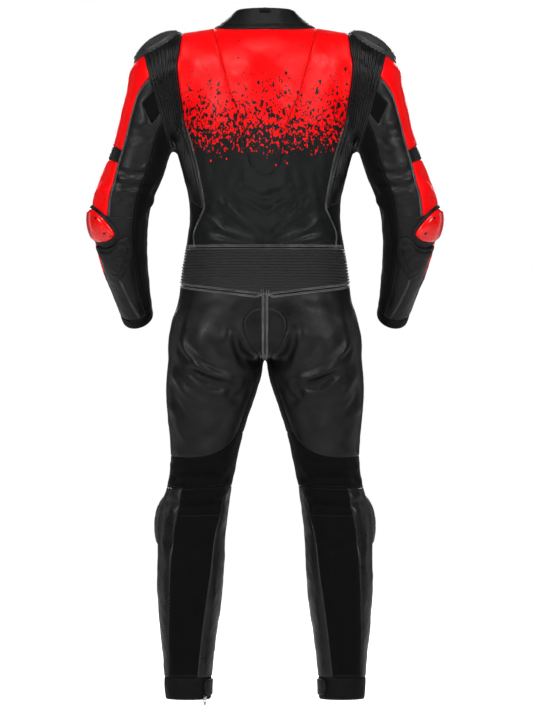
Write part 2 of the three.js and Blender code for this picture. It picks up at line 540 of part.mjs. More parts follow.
// Makes a closed wall from a whole grid: every row and column outside, only the kept ones inside.
function addRibbedWall(name, finish, grid, { outer, inner, keepRows, keepColumns }) {
  const { points, normals } = grid;
  const rows = points.length - 1;
  const columns = points[0].length - 1;
  const positions = [];
  const drawBack = (i, j) => {
    const p = points[i][j].clone();
    const pull = (to) => {
      const way = to.clone().sub(points[i][j]);
      return p.addScaledVector(way, seamGap / 2 / way.length());
    };
    if (i === 0) pull(points[1][j]);
    if (i === rows) pull(points[rows - 1][j]);
    if (j === 0) pull(points[i][1]);
    if (j === columns) pull(points[i][columns - 1]);
    return p;
  };
  const layer = (rowList, columnList, lift) => rowList.map((i) => columnList.map((j) => {
    positions.push(drawBack(i, j).addScaledVector(normals[i][j], lift(i, j)));
    return positions.length - 1;
  }));
  const allRows = everyStep(rows, rows);
  const allColumns = everyStep(columns, columns);
  const top = layer(allRows, allColumns, outer);
  const under = layer(keepRows, keepColumns, inner);
  const centre = points[Math.round(rows / 2)][Math.round(columns / 2)];
  const right = points[Math.round(rows / 2)][Math.round(columns / 2) + 1].clone().sub(centre);
  const down = points[Math.round(rows / 2) + 1][Math.round(columns / 2)].clone().sub(centre);
  const facesOut = down.cross(right).dot(normals[Math.round(rows / 2)][Math.round(columns / 2)]) > 0;
  const triangles = [];
  const add = (a, b, c) => triangles.push(facesOut ? [a, b, c] : [a, c, b]);
  const sheet = (at, face) => {
    for (let i = 0; i < at.length - 1; i += 1) {
      for (let j = 0; j < at[0].length - 1; j += 1) {
        face(at[i][j], at[i + 1][j], at[i][j + 1]);
        face(at[i + 1][j], at[i + 1][j + 1], at[i][j + 1]);
      }
    }
  };
  sheet(top, add);
  sheet(under, (a, b, c) => add(a, c, b));
  // Closes one edge between a run of outer points and a run of fewer inner points.
  const closeEdge = (outerRun, outerAt, innerRun, innerAt, face) => {
    let [i, j] = [0, 0];
    while (i < outerRun.length - 1 || j < innerRun.length - 1) {
      const outerNext = i < outerRun.length - 1
        && (j === innerRun.length - 1 || outerAt[i + 1] + outerAt[i] <= innerAt[j + 1] + innerAt[j]);
      if (outerNext) {
        face(outerRun[i], outerRun[i + 1], innerRun[j]);
        i += 1;
      } else {
        face(outerRun[i], innerRun[j + 1], innerRun[j]);
        j += 1;
      }
    }
  };
  const column = (at, j) => at.map((row) => row[j]);
  const endColumn = keepColumns.length - 1;
  closeEdge(top[0], allColumns, under[0], keepColumns, add);
  closeEdge(top[rows], allColumns, under[keepRows.length - 1], keepColumns, (a, b, c) => add(a, c, b));
  closeEdge(column(top, 0), allRows, column(under, 0), keepRows, (a, b, c) => add(a, c, b));
  closeEdge(column(top, columns), allRows, column(under, endColumn), keepRows, add);
  return addMesh(name, finish, positions, triangles);
}

// Adds a wall for the wearer's left, and its mirror image for the right.
function addPair(name, finish, grid, options) {
  addWall(`${name}_L`, finish, grid, options);
  addWall(`${name}_R`, finish, mirroredGrid(grid), options);
}

// A solid pad on the suit: outline points round a centre, rising from its edge towards its middle.
function addPad(name, finish, centre, outline, { base, edge, crown, flat = 0.55, side = 1 }) {
  const shares = [1, 0.84, flat, flat / 2, 0];
  const positions = [];
  for (const share of shares) {
    const ring = share === 0 ? [centre] : outline;
    for (const p of ring) {
      const at = settle(centre.clone().lerp(p, share));
      const n = outward(at).normalize();
      const rise = mix(crown, edge, smooth((share - flat) / (1 - flat)));
      for (const lift of [rise, base]) {
        const placed = at.clone().addScaledVector(n, lift);
        positions.push(side > 0 ? placed : mirrored(placed));
      }
    }
  }
  const count = outline.length;
  const middle = 2 * count * (shares.length - 1);
  const triangles = [];
  const up = outward(settle(centre));
  const spin = outline.reduce((sum, p, k) => {
    const next = outline[(k + 1) % count].clone().sub(centre);
    return sum + p.clone().sub(centre).cross(next).dot(up);
  }, 0);
  const add = (a, b, c) => triangles.push(side * spin > 0 ? [a, b, c] : [a, c, b]);
  const face = (ring, k) => 2 * (ring * count + (k % count));
  for (let k = 0; k < count; k += 1) {
    for (let ring = 0; ring < shares.length - 2; ring += 1) {
      const [a, b, c, d] = [face(ring, k), face(ring, k + 1), face(ring + 1, k + 1), face(ring + 1, k)];
      add(a, b, c);
      add(a, c, d);
      add(a + 1, c + 1, b + 1);
      add(a + 1, d + 1, c + 1);
    }
    const [a, b] = [face(shares.length - 2, k), face(shares.length - 2, k + 1)];
    add(a, b, middle);
    add(a + 1, middle + 1, b + 1);
    add(face(0, k), face(0, k) + 1, face(0, k + 1) + 1);
    add(face(0, k), face(0, k + 1) + 1, face(0, k + 1));
  }
  return addMesh(name, finish, positions, triangles);
}
function addPadPair(name, finish, centre, outline, options) {
  addPad(`${name}_L`, finish, centre, outline, { ...options, side: 1 });
  addPad(`${name}_R`, finish, centre, outline, { ...options, side: -1 });
}

const joinRuns = (parts) => parts.flatMap((part, i) => (i === 0 ? part : part.slice(1)));
const spread = (a, b, count, level) => steps(0, 1, count).map((t) => (
  t === 0 ? a : t === 1 ? b : between(a, b, t, level)));
const alongRidge = (a, b, count) => steps(0, 1, count).map((t) => (
  t === 0 ? a : t === 1 ? b : ridgeAt(mix(a.x, b.x, t))));
const armholeBack = (row) => sleevePoint(0, armholeAngles[ridgeColumn + Math.min(row, armpitRow)]);
const armholeFront = (row) => sleevePoint(0, row < 4
  ? armholeAngles[ridgeColumn - row] : armholeAngles[armholeAngles.length + 3 - row]);

// The back from the middle line to the sleeve or side seam, with a set number of columns beside the leather.
function backBlock(besideCount) {
  const rows = backRows.map((s) => {
    const top = s.row === 0;
    const corner = top ? neckPoint(3) : behindAt(s.humpX, s.humpZ);
    const middle = top ? steps(0, 3, humpColumns).map(neckPoint)
      : spread(behindAt(0, s.middleZ), corner, humpColumns, s.row > humpEnd);
    const seam = top ? ridgeAt(s.seamX) : behindAt(s.seamX, s.seamZ);
    const end = s.row <= armpitRow ? armholeBack(s.row) : besideAt(sideY, s.sideZ);
    const run = top ? alongRidge : spread;
    const level = s.row > armpitRow;
    return joinRuns([middle, run(corner, seam, backColumns, level), run(seam, end, besideCount, level)]);
  });
  return gridOf(rows);
}

function frontBlock() {
  const rows = frontRows.map((s) => {
    const top = s.row === 0;
    const start = top ? neckPoint(6) : beforeAt(0, s.middleZ);
    const edge = top ? neckPoint(5.72) : beforeAt(zipHalf, s.middleZ);
    const line = top ? neckPoint(3) : beforeAt(s.lineX, s.lineZ);
    const level = s.row > armpitRow;
    const across = top ? steps(5.72, 3, frontColumns).map(neckPoint) : spread(edge, line, frontColumns, level);
    const sideZ = s.row <= 16 ? backRows[s.row].sideZ : s.middleZ;
    const end = s.row <= armpitRow ? armholeFront(s.row) : besideAt(sideY, sideZ);
    const beside = top ? alongRidge(line, end, besideColumns) : spread(line, end, besideColumns, level);
    return joinRuns([[start, edge], across, beside]);
  });
  return gridOf(rows);
}

const backHalf = humpColumns + backColumns;
const coarseBack = backBlock(sideColumns);
const fineBack = backBlock(accordionRibs * 2);
const front = frontBlock();
const lastColumn = (grid) => grid.points[0].length - 1;

function addBack() {
  const middle = joinedAcross(partOf(coarseBack, 0, 16, 0, backHalf));
  const inHump = (i, j) => i < humpEnd && Math.abs(j - backHalf + 0.5) < humpColumns;
  const humpRise = (i, j) => 9 * smooth(i / 3) * smooth((humpEnd - i) / 5)
    * smooth(1.15 - Math.abs(j - backHalf) / humpColumns);
  addWall('back_hump', 'red_leather', middle, {
    outer: humpRise, inner: (i, j) => humpRise(i, j) - leatherWall, isIn: inHump,
  });
  addWall('back_panel', 'red_leather', middle, { ...inwardsBy(leatherWall), isIn: (i, j) => !inHump(i, j) });

  const ribAt = (i, j) => (j % 2 === 1 ? rib.accordion : 0) * smooth((accordionEnd - i) / 4) * smooth((i + 0.4) / 1.5);
  const pleated = partOf(fineBack, 0, accordionEnd, backHalf, lastColumn(fineBack));
  const ribbing = {
    outer: ribAt, ...inwardsBy(stretchWall),
    keepRows: everyStep(accordionEnd, accordionEnd), keepColumns: everyStep(accordionRibs * 2, 4),
  };
  addRibbedWall('accordion_L', 'black_leather', pleated, ribbing);
  addRibbedWall('accordion_R', 'black_leather', mirroredGrid(pleated), ribbing);
  addPair('side', 'stretch_cloth', partOf(coarseBack, accordionEnd, 16, backHalf, lastColumn(coarseBack)),
    inwardsBy(stretchWall));
}

function addFront() {
  addPair('front', 'black_leather', partOf(front, 0, 19, 1, lastColumn(front)), inwardsBy(leatherWall));
}

// A leg from the side line round the back, the inside and the front to the side line again.
function legBlock() {
  const legAxis = (z) => tableAt(legSections, 'z', z);
  const upper = upperRows.map((s) => {
    const side = besideAt(sideY, s.sideZ);
    const seam = behindAt(s.seamX, s.seamZ);
    const crotch = s.row === crotchRow;
    const under = steps(0, 1, gussetColumns).map((t) => (
      shoot(vector(0, mix(crotchBackY, crotchFrontY, t), -640), vector(0, 0, -1))));
    const back = crotch ? under[0] : behindAt(0, s.backZ);
    const middle = crotch ? under[gussetColumns] : beforeAt(0, s.frontZ);
    const beside = crotch ? settle(vector(zipHalf, crotchFrontY - 8, middle.z - 2)) : beforeAt(zipHalf, s.frontZ);
    return joinRuns([spread(side, seam, sideColumns, true), spread(seam, back, backHalf, !crotch), under,
      [middle, beside], spread(beside, side, frontColumns + besideColumns, !crotch)]);
  });
  const lower = lowerRows.map((s) => {
    const side = legPoint(s.sideZ, 2);
    const seam = legPoint(s.seamZ, s.seam);
    const backPoint = (t) => legPoint(mix(s.seamZ, s.backZ, t ** s.bend), mix(s.seam, s.back, t));
    const frontPoint = (t) => legPoint(mix(s.frontZ, s.sideZ, smooth(t)), mix(s.front, 362, t));
    return joinRuns([
      steps(0, 1, sideColumns).map((t) => legPoint(mix(s.sideZ, s.seamZ, t), mix(2, s.seam, t))),
      steps(0, 1, backHalf).map(backPoint),
      steps(0, 1, gussetColumns).map((t) => legPoint(mix(s.backZ, s.frontZ, t), mix(s.back, s.front, t))),
      steps(0, 1, frontColumns + besideColumns + 1).map(frontPoint),
    ]);
  });
  return gridOf([...upper, ...lower]);
}
const leg = legBlock();
const legSeamColumn = sideColumns;
const legBackColumn = sideColumns + backHalf;
const legFrontColumn = legBackColumn + gussetColumns;
const legEnd = legFrontColumn + frontColumns + besideColumns + 1;

// The same leg, starting its rows at another column.
const turned = (grid, start) => {
  const turn = (row) => [...row.slice(start), ...row.slice(1, start + 1)];
  return { points: grid.points.map(turn), normals: grid.normals.map(turn) };
};

// A grid whose outward direction comes from its own points, for forms that stand off the suit.
function freeGrid(points) {
  const last = points.length - 1;
  const end = points[0].length - 1;
  const normals = points.map((row, i) => row.map((p, j) => {
    const down = points[Math.min(i + 1, last)][j].clone().sub(points[Math.max(i - 1, 0)][j]);
    const right = row[Math.min(j + 1, end)].clone().sub(row[Math.max(j - 1, 0)]);
    return right.cross(down).normalize();
  }));
  return { points, normals };
}

function addWaistband() {
  const top = acrossMiddle([coarseBack.points[16]])[0];
  const low = acrossMiddle([leg.points[0].slice(0, legBackColumn + 1).reverse()])[0];
  const rows = steps(0, 1, waistRibs * 2).map((t) => top.map((p, j) => (
    t === 0 ? p : t === 1 ? low[j] : settle(p.clone().lerp(low[j], t), true))));
  const normals = rows.map((row) => row.map((p) => outward(p).normalize()));
  addRibbedWall('waistband', 'black_leather', { points: rows, normals }, {
    outer: (i) => (i % 2 === 1 ? rib.waist : 0), ...inwardsBy(bandWall),
    keepRows: everyStep(waistRibs * 2, 4), keepColumns: everyStep(top.length - 1, top.length - 1),
  });
}

function addCollar() {
  const across = [...steps(0, 3, humpColumns), ...steps(3, 5.72, frontColumns).slice(1)];
  const half = steps(0, 1, 3).map((t) => across.map((at) => {
    const low = neckPoint(at);
    const high = tableAt(collarTop, 'at', at);
    const p = low.clone().lerp(vector(high.x, high.y, high.z), t);
    return p.multiplyScalar(1 - 0.03 * Math.sin(Math.PI * t));
  }));
  const grid = freeGrid(acrossMiddle(half).reverse());
  addWall('collar', 'black_leather', grid, inwardsBy(leatherWall));
  const loopPoint = (x, along) => {
    const low = neckPoint(0);
    const high = collarTop[0];
    return vector(x, mix(low.y, high.y, along), mix(low.z, high.z, along));
  };
  const loop = freeGrid([0.93, 0.8].map((along) => steps(12, -12, 6).map((x) => loopPoint(x, along)).reverse()));
  const bow = (i, j) => -1 + 2.4 * Math.sin(Math.PI * j / 6);
  addWall('collar_loop', 'stretch_cloth', loop, { outer: (i, j) => bow(i, j) + 1.2, inner: bow });
}

function addZip() {
  const depths = [...frontRows.slice(1).map((s) => s.middleZ), ...upperRows.slice(1, 4).map((s) => s.frontZ)];
  const half = [[neckPoint(6), neckPoint(5.72)],
    ...depths.map((z) => [0, zipHalf].map((x) => beforeAt(x, z)))];
  const tape = joinedAcross(gridOf(half));
  addWall('front_zip', 'zip_tape', tape, { outer: (i, j) => (j === 1 ? 1.4 : -0.4), ...inwardsBy(stretchWall) });
}

// A flat shape given in two of a frame's directions and pushed along the third.
function addPushed(name, finish, shape, { origin, first, second, third }, from, to) {
  const geometry = new THREE.ExtrudeGeometry(shape, { depth: to - from, bevelEnabled: false, curveSegments: 6 });
  const at = geometry.getAttribute('position');
  const positions = Array.from({ length: at.count }, (_, i) => origin.clone()
    .addScaledVector(first, at.getX(i))
    .addScaledVector(second, at.getY(i))
    .addScaledVector(third, from + at.getZ(i)));
  const triangles = Array.from({ length: at.count / 3 }, (_, i) => [3 * i, 3 * i + 1, 3 * i + 2]);
  return addMesh(name, finish, positions, triangles);
}
const shapeOf = (outline, hole) => {
  const shape = new THREE.Shape(outline.map(([x, y]) => new THREE.Vector2(x, y)));
  if (hole) shape.holes.push(new THREE.Path(hole.map(([x, y]) => new THREE.Vector2(x, y))));
  return shape;
};

// A slider with a bridge, and a pull tab whose eye runs through the bridge. The tab hangs from the
// pivot, which stands pivotOut off the cloth and is the hinge's line.
const slider = { half: 3, base: 2.3, length: 7, bridge: 4.4, height: 9, wall: 1.3, pivotOut: 5.9 };
function addSlider(name, { origin, out, up }, scale, pullLength) {
  const side = out.clone().cross(up);
  const k = (list) => list.map(([x, y]) => [x * scale, y * scale]);
  const { half, base, length, bridge, height, wall, pivotOut } = slider;
  const body = shapeOf(
    k([[base, -length], [base, length], [4.2, length], [height - 1, bridge], [height, bridge - 1.2],
      [height, 1.2 - bridge], [height - 1, -bridge], [4.2, -length]]),
    k([[4.2, 2.6 - bridge], [height - wall, 2.6 - bridge], [height - wall, bridge - 2.6], [4.2, bridge - 2.6]]),
  );
  addPushed(`${name}_slider`, 'zip_metal', body, { origin, first: out, second: up, third: side }, -half * scale, half * scale);
  const tip = pullLength / scale;
  const tab = shapeOf(
    k([[5.4, 0.7], [-5.4, 0.7], [-5.4, -10.5], [-3.4, 1 - tip], [-2.2, -tip], [2.2, -tip], [3.4, 1 - tip], [5.4, -10.5]]),
    k([[-3.9, -0.7], [3.9, -0.7], [3.9, -9.2], [-3.9, -9.2]]),
  );
  addPushed(`${name}_pull`, 'zip_metal', tab, { origin, first: side.clone().negate(), second: up, third: out },
    (pivotOut - 0.6) * scale, (pivotOut + 0.6) * scale);
}

function addSliders() {
  const onFront = beforeAt(0, -112);
  const out = outward(onFront).normalize();
  addSlider('front_zip', { origin: onFront, out, up: vector(0, out.z, -out.y) }, 1, 27);
  const angle = 131;
  const level = vector(Math.cos(radians(angle)), Math.sin(radians(angle)), 0);
  const onHem = legPoint(-1428, angle).addScaledVector(level, -1);
  addSlider('ankle_zip', { origin: onHem, out: level, up: vector(0, 0, 1) }, 0.8, 15);
}

function addTrousers() {
  addPair('seat', 'black_leather', partOf(leg, 0, thighRow, 0, legBackColumn), inwardsBy(leatherWall));
  addPair('thigh_front', 'black_leather', partOf(leg, 0, thighRow, legFrontColumn, legEnd), {
    ...inwardsBy(leatherWall), isIn: (i, j) => !(i < 3 && j === 0),
  });
  const inner = partOf(leg, crotchRow, thighRow, legBackColumn, legFrontColumn);
  addWall('crotch_gusset', 'stretch_cloth', joinedAcross({
    points: inner.points[0].map((_, j) => inner.points.map((row) => row[j])),
    normals: inner.normals[0].map((_, j) => inner.normals.map((row) => row[j])),
  }), inwardsBy(stretchWall));
  addPair('knee_back', 'stretch_cloth', partOf(leg, thighRow, kneeRow, 0, legFrontColumn), inwardsBy(stretchWall));
  addPair('calf_back', 'stretch_cloth', partOf(leg, kneeRow, hemRow, legSeamColumn, legBackColumn),
    inwardsBy(stretchWall));
  const round = turned(leg, legBackColumn);
  const roundWidth = legEnd - legBackColumn + legSeamColumn;
  addPair('shin', 'black_leather', partOf(round, thighRow, hemRow, 0, roundWidth), {
    ...inwardsBy(leatherWall),
    isIn: (i, j) => i >= kneeRow - thighRow || (j >= gussetColumns && j < legEnd - legBackColumn),
  });
  addPair('hem_band', 'black_leather', partOf(round, hemRow, hemEnd, 0, lastColumn(round)), {
    outer: () => 0.8, inner: () => 0.8 - bandWall,
  });
}

function addTrouserFittings() {
  const patchRows = [-604, -610, -620, -634, -648, -662, -674, -685, -693, -699].map((z) => {
    const half = 46 * Math.sqrt(Math.max(1 - ((z + 652) / 53) ** 2, 0.08));
    return [0, 0.4, 0.75, 1].map((share) => behindAt(half * share, z));
  });
  addWall('seat_patch', 'black_leather', joinedAcross(gridOf(patchRows)), { outer: () => 3.2, inner: () => 1.8 });
  const strap = [-578, -592, -606, -620, -634, -648, -662, -674, -685, -693, -698];
  const strapRows = joinedAcross(gridOf(strap.map((z) => [0, 8].map((x) => behindAt(x, z)))));
  addWall('seat_strap', 'black_leather', strapRows, { outer: () => 5.2, inner: () => 3.6 });

  const kneeOutline = steps(0, 360, 14).slice(1).map((a) => legPoint(-1056 + 60 * Math.cos(radians(a)), -40 + 46 * Math.sin(radians(a))));
  addPadPair('knee_armour', 'black_armour', legPoint(-1056, -40), kneeOutline, { base: 1.4, edge: 5, crown: 13 });

  const tabRows = [-1391, -1406, -1421].map((z) => steps(130, 176, 4).map((a) => legPoint(z, a)));
  addPair('hem_tab', 'black_leather', gridOf(tabRows), { outer: () => 3.8, inner: () => 2.2 });
}

function addSleeves() {
  const rings = [...sleeveRows, 11.55];
  const points = rings.map((ring) => sleeveAngles.map((_, j) => sleevePoint(ring, sleeveAngle(ring, j))));
  const whole = gridOf(points);
  const last = sleeveRows.length - 1;
  const sleeve = partOf(whole, 0, last, 0, lastColumn(whole));
  const inPatch = (i, j) => i < 2 && j >= stripeEdge && j < stripeEdge + 3;
  addPair('sleeve_stripe', 'red_leather', sleeve, {
    ...inwardsBy(leatherWall), isIn: (i, j) => j < stripeEdge && i < bandTop,
  });
  addPair('sleeve_stripe_lower', 'red_leather', sleeve, {
    ...inwardsBy(leatherWall), isIn: (i, j) => j < stripeEdge && i >= bandBottom && i < elbowRow,
  });
  addPair('sleeve_back', 'black_leather', sleeve, {
    ...inwardsBy(leatherWall),
    isIn: (i, j) => !inPatch(i, j) && ((i < elbowRow && j >= stripeEdge && j < backEdge)
      || (i >= bandTop && i < bandBottom && j < stripeEdge)),
  });
  addPair('sleeve_patch', 'stretch_cloth', sleeve, { ...inwardsBy(stretchWall), isIn: inPatch });
  addPair('sleeve_inner', 'stretch_cloth', sleeve, { ...inwardsBy(stretchWall), isIn: (i, j) => j >= backEdge });
  addPair('forearm_stripe', 'red_leather', sleeve, {
    ...inwardsBy(leatherWall), isIn: (i, j) => j < forearmStripeEdge && i >= elbowRow,
  });
  addPair('forearm_back', 'black_leather', sleeve, {
    ...inwardsBy(leatherWall), isIn: (i, j) => j >= forearmStripeEdge && j < backEdge && i >= elbowRow,
  });
  addPair('cuff', 'black_leather', partOf(whole, last, last + 1, 0, lastColumn(whole)), {
    outer: () => 0.8, inner: () => 0.8 - bandWall,
  });
}

// Outlines of the hard pieces of an arm, as rings and angles of the sleeve.
const elbowOutline = [[5.95, 28], [6.08, 50], [6.42, 68], [6.85, 80], [7.15, 66], [7.3, 42], [7.3, 14], [6.95, -8], [6.4, -10], [6.02, 6]];
const padOutline = [[7.12, 88], [7.06, 104], [7.35, 117], [8, 106], [8.75, 82], [8.85, 58], [8.2, 33], [7.62, 16],
  [7.56, 42], [7.42, 68]];

function addArmour() {
  const onSleeve = (outline) => outline.map(([ring, angle]) => sleevePoint(ring, angle));
  const ridge = vector(226, -4, -44);
  const cup = steps(0, 360, 16).slice(1).map((a) => {
    const [along, over] = [54 * Math.cos(radians(a)), 40 * Math.sin(radians(a))];
    return settle(ridge.clone().add(vector(along * 0.88, over, -along * 0.47)));
  });
  addPadPair('shoulder_cup', 'black_armour', settle(ridge), cup, { base: 1.5, edge: 5, crown: 14 });
  const elbow = sleevePoint(6.65, 38);
  const cupOutline = onSleeve(elbowOutline);
  const wider = cupOutline.map((p) => settle(elbow.clone().lerp(p, 1.1)));
  addPadPair('elbow_base', 'black_armour', elbow, wider, { base: 1.2, edge: 3.4, crown: 3.8 });
  addPadPair('elbow_cup', 'red_armour', elbow, cupOutline, { base: 4.6, edge: 7.5, crown: 17 });
  addPadPair('forearm_pad', 'black_leather', sleevePoint(7.9, 70), onSleeve(padOutline), { base: 2, edge: 4, crown: 9, flat: 0.7 });
}

addBack();
addFront();
addZip();
addCollar();
addWaistband();
addTrousers();
addTrouserFittings();
addSleeves();
addArmour();
addSliders();

export default suit;
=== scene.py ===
import math

import bmesh
import bpy
import numpy as np
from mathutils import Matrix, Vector, kdtree


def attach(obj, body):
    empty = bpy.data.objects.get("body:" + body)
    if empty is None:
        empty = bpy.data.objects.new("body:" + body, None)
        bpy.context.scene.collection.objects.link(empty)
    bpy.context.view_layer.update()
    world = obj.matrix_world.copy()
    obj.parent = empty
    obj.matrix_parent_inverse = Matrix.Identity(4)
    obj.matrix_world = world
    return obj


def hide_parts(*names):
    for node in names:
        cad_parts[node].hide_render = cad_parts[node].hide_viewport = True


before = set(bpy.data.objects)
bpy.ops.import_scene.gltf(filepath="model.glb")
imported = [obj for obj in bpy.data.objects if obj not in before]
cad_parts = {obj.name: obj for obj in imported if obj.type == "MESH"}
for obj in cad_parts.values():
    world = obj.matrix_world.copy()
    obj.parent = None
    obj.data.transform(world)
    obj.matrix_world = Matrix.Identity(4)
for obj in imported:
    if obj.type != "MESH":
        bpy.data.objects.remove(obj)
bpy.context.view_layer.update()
print("frame loaded:", len(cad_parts), "nodes")

# Lengths below are millimetres; meshes are written in metres.
# The suit's back faces +Y, its top +Z and the wearer's left side +X.


def table(columns, *rows):
    return {name: np.array([row[i] for row in rows], float) for i, name in enumerate(columns.split())}


trunk = table(
    "z half back front",
    (-40, 150, 84, -62), (-90, 172, 102, -92), (-150, 184, 118, -114), (-210, 187, 120, -126),
    (-270, 184, 111, -128), (-318, 174, 101, -123), (-370, 162, 91, -114), (-421, 161, 84, -107),
    (-472, 169, 84, -103), (-524, 177, 92, -102), (-575, 183, 108, -102), (-626, 193, 122, -101),
    (-677, 203, 128, -96), (-729, 206, 122, -88),
)
trunk["x"] = 0 * trunk["z"]
trunk["y"] = (trunk["back"] + trunk["front"]) / 2
trunk["deep"] = (trunk["back"] - trunk["front"]) / 2
legs = table(
    "z x half y deep",
    (-600, 98, 84, 6, 96), (-660, 104, 92, 10, 106), (-729, 107, 101, 8, 108), (-780, 115, 96, 1, 101),
    (-831, 122, 86, -5, 93), (-883, 127, 76, -9, 86), (-934, 132, 70, -11, 80), (-985, 141, 69, -13, 77),
    (-1036, 152, 73, -13, 77), (-1088, 157, 72, -8, 78), (-1139, 158, 71, 1, 78), (-1190, 160, 70, 9, 75),
    (-1241, 161, 66, 16, 70), (-1293, 163, 60, 22, 64), (-1344, 163, 54, 27, 58), (-1396, 164, 50, 30, 53),
    (-1450, 163, 48, 31, 51),
)
arms = table(
    "z x half y deep",
    (-105, 213, 73, 8, 66), (-167, 232, 71, 8, 70), (-220, 248, 67, 9, 71), (-270, 266, 64, 9, 69),
    (-318, 283, 66, 10, 67), (-370, 303, 64, 8, 66), (-421, 309, 59, -4, 66), (-472, 307, 54, -30, 65),
    (-524, 299, 48, -62, 58), (-575, 287, 40, -93, 51), (-626, 274, 35, -122, 47), (-690, 257, 33, -158, 45),
)
neckSeam = table(
    "at x y z",
    (0, 0, 80, -4), (1, 48, 74, -3), (2, 88, 50, -3), (3, 110, 8, -6), (4, 94, -28, -18), (5, 52, -56, -34),
    (6, 0, -68, -42),
)
collarTop = table(
    "at x y z",
    (0, 0, 50, 38), (1, 33, 46, 37), (2, 57, 32, 35), (3, 65, 8, 30), (4, 56, -18, 20), (5, 32, -38, 8),
    (6, 0, -46, 2),
)
backRows = table(
    "row middleZ humpX humpZ seamX seamZ sideZ",
    (0, -4, 110, -6, 174, -28, 0), (1, -32, 105, -32, 180, -52, 0), (2, -68, 96, -68, 185, -85, 0),
    (3, -106, 86, -106, 183, -118, 0), (4, -136, 78, -136, 180, -142, 0), (5, -160, 69, -160, 177, -162, 0),
    (6, -184, 58, -184, 174, -184, 0), (7, -210, 49, -208, 171, -210, 0), (8, -246, 45, -240, 162, -243, 0),
    (9, -284, 41, -268, 154, -272, 0), (10, -320, 31, -300, 147, -302, 0), (11, -344, 34, -334, 141, -332, -304),
    (12, -370, 38, -364, 136, -360, -336), (13, -396, 42, -392, 133, -388, -368),
    (14, -422, 47, -420, 142, -410, -400), (15, -448, 50, -448, 154, -441, -436),
    (16, -474, 52, -474, 153, -474, -474),
)
frontRows = table(
    "row middleZ lineX lineZ",
    (0, -42, 110, -6), (1, -62, 113, -44), (2, -84, 115, -70), (3, -106, 115, -96), (4, -130, 114, -122),
    (5, -154, 112, -148), (6, -180, 110, -174), (7, -206, 108, -202), (8, -234, 105, -232), (9, -264, 102, -260),
    (10, -292, 100, -286), (11, -320, 97, -314), (12, -348, 94, -343), (13, -379, 92, -374), (14, -411, 90, -406),
    (15, -444, 90, -440), (16, -474, 90, -474), (17, -499, 92, -499), (18, -524, 94, -524), (19, -549, 96, -549),
)
upperRows = table(
    "row sideZ backZ frontZ seamX seamZ",
    (0, -549, -577, -549, 155, -557), (1, -577, -604, -577, 160, -586), (2, -605, -630, -605, 163, -614),
    (3, -634, -652, -632, 165, -642), (4, -663, -674, -661, 167, -670), (5, -692, -692, -689, 168, -698),
    (6, -721, -722, -714, 168, -726),
)
lowerRows = table(
    "row sideZ seamZ seam backZ back frontZ front bend",
    (7, -752, -757, 56, -750, 152, -748, 212, 1), (8, -785, -790, 56, -770, 153, -771, 212, 1),
    (9, -820, -824, 57, -792, 152, -800, 214, 1.3), (10, -866, -869, 58, -824, 150, -834, 216, 2),
    (11, -916, -919, 59, -862, 147, -872, 218, 3), (12, -940, -942, 60, -912, 145, -912, 220, 2),
    (13, -964, -964, 61, -952, 144, -950, 222, 1), (14, -984, -984, 62, -980, 143, -980, 223, 1),
    (15, -1004, -1004, 63, -1002, 142, -1002, 224, 1), (16, -1022, -1022, 64, -1022, 142, -1022, 225, 1),
    (17, -1040, -1040, 64, -1040, 141, -1040, 226, 1), (18, -1078, -1078, 61, -1078, 133, -1078, 226, 1),
    (19, -1124, -1124, 58, -1124, 128, -1124, 226, 1), (20, -1174, -1174, 56, -1174, 124, -1174, 226, 1),
    (21, -1228, -1228, 53, -1228, 120, -1228, 226, 1), (22, -1286, -1286, 49, -1286, 118, -1286, 226, 1),
    (23, -1338, -1338, 44, -1338, 115, -1338, 226, 1), (24, -1385, -1385, 40, -1385, 113, -1385, 226, 1),
    (25, -1432, -1432, 40, -1432, 113, -1432, 226, 1),
)
sleeveRings = table(
    "ring outX outZ inX inZ y pitch",
    (0, 258, -58, 198, -272, 8, 0), (1, 288, -112, 204, -283, 8, 0), (2, 307, -172, 210, -295, 8, 0),
    (3, 322, -228, 216, -309, 9, 0), (4, 343, -286, 225, -328, 9, 2), (5, 362, -340, 237, -359, 9, 6),
    (6, 368, -386, 245, -392, 5, 14), (7, 368, -430, 251, -424, -5, 22), (8, 361, -480, 252, -466, -29, 29),
    (9, 349, -528, 251, -510, -57, 32), (10, 334, -574, 249, -555, -86, 32), (11, 313, -614, 247, -592, -112, 32),
    (12, 299, -643, 243, -617, -136, 32),
)
armholeAngles = np.array([-48, -32, -16, 0, 24, 48, 72, 84, 96, 108, 122, 144, 162, 180, 198, 216, 237, 258, 276,
                          294, 312], float)
sleeveAngles = np.array([-48, -32, -16, 0, 16, 32, 48, 66, 84, 101, 118, 144, 162, 180, 198, 216, 237, 258, 276,
                         294, 312], float)
stripeEdge = ((0, 1, 2.3, 3.4, 3.9, 4.6, 6.1, 7.6), (50, 43, 51, 57, 60, 65, 64, 48))  # ring, angle
besideEdge = np.array([0, 0, 0, 0, 0.25, 0.6, 1, 0.62, 0.3] + [0] * 12)
sleeveRows = [0, 0.5, 1, 1.6, 2.3, 2.9, 3.4, 3.9, 4.6, 5.3, 6.1, 6.8, 7.6, 8.6, 9.8, 11, 11.55]

sideY, ridgeY, zipHalf = 4, 8, 12
crotchBackY, crotchFrontY = 48, -44
humpColumns, backColumns, sideColumns, frontColumns, besideColumns, gussetColumns = 4, 3, 3, 4, 3, 5

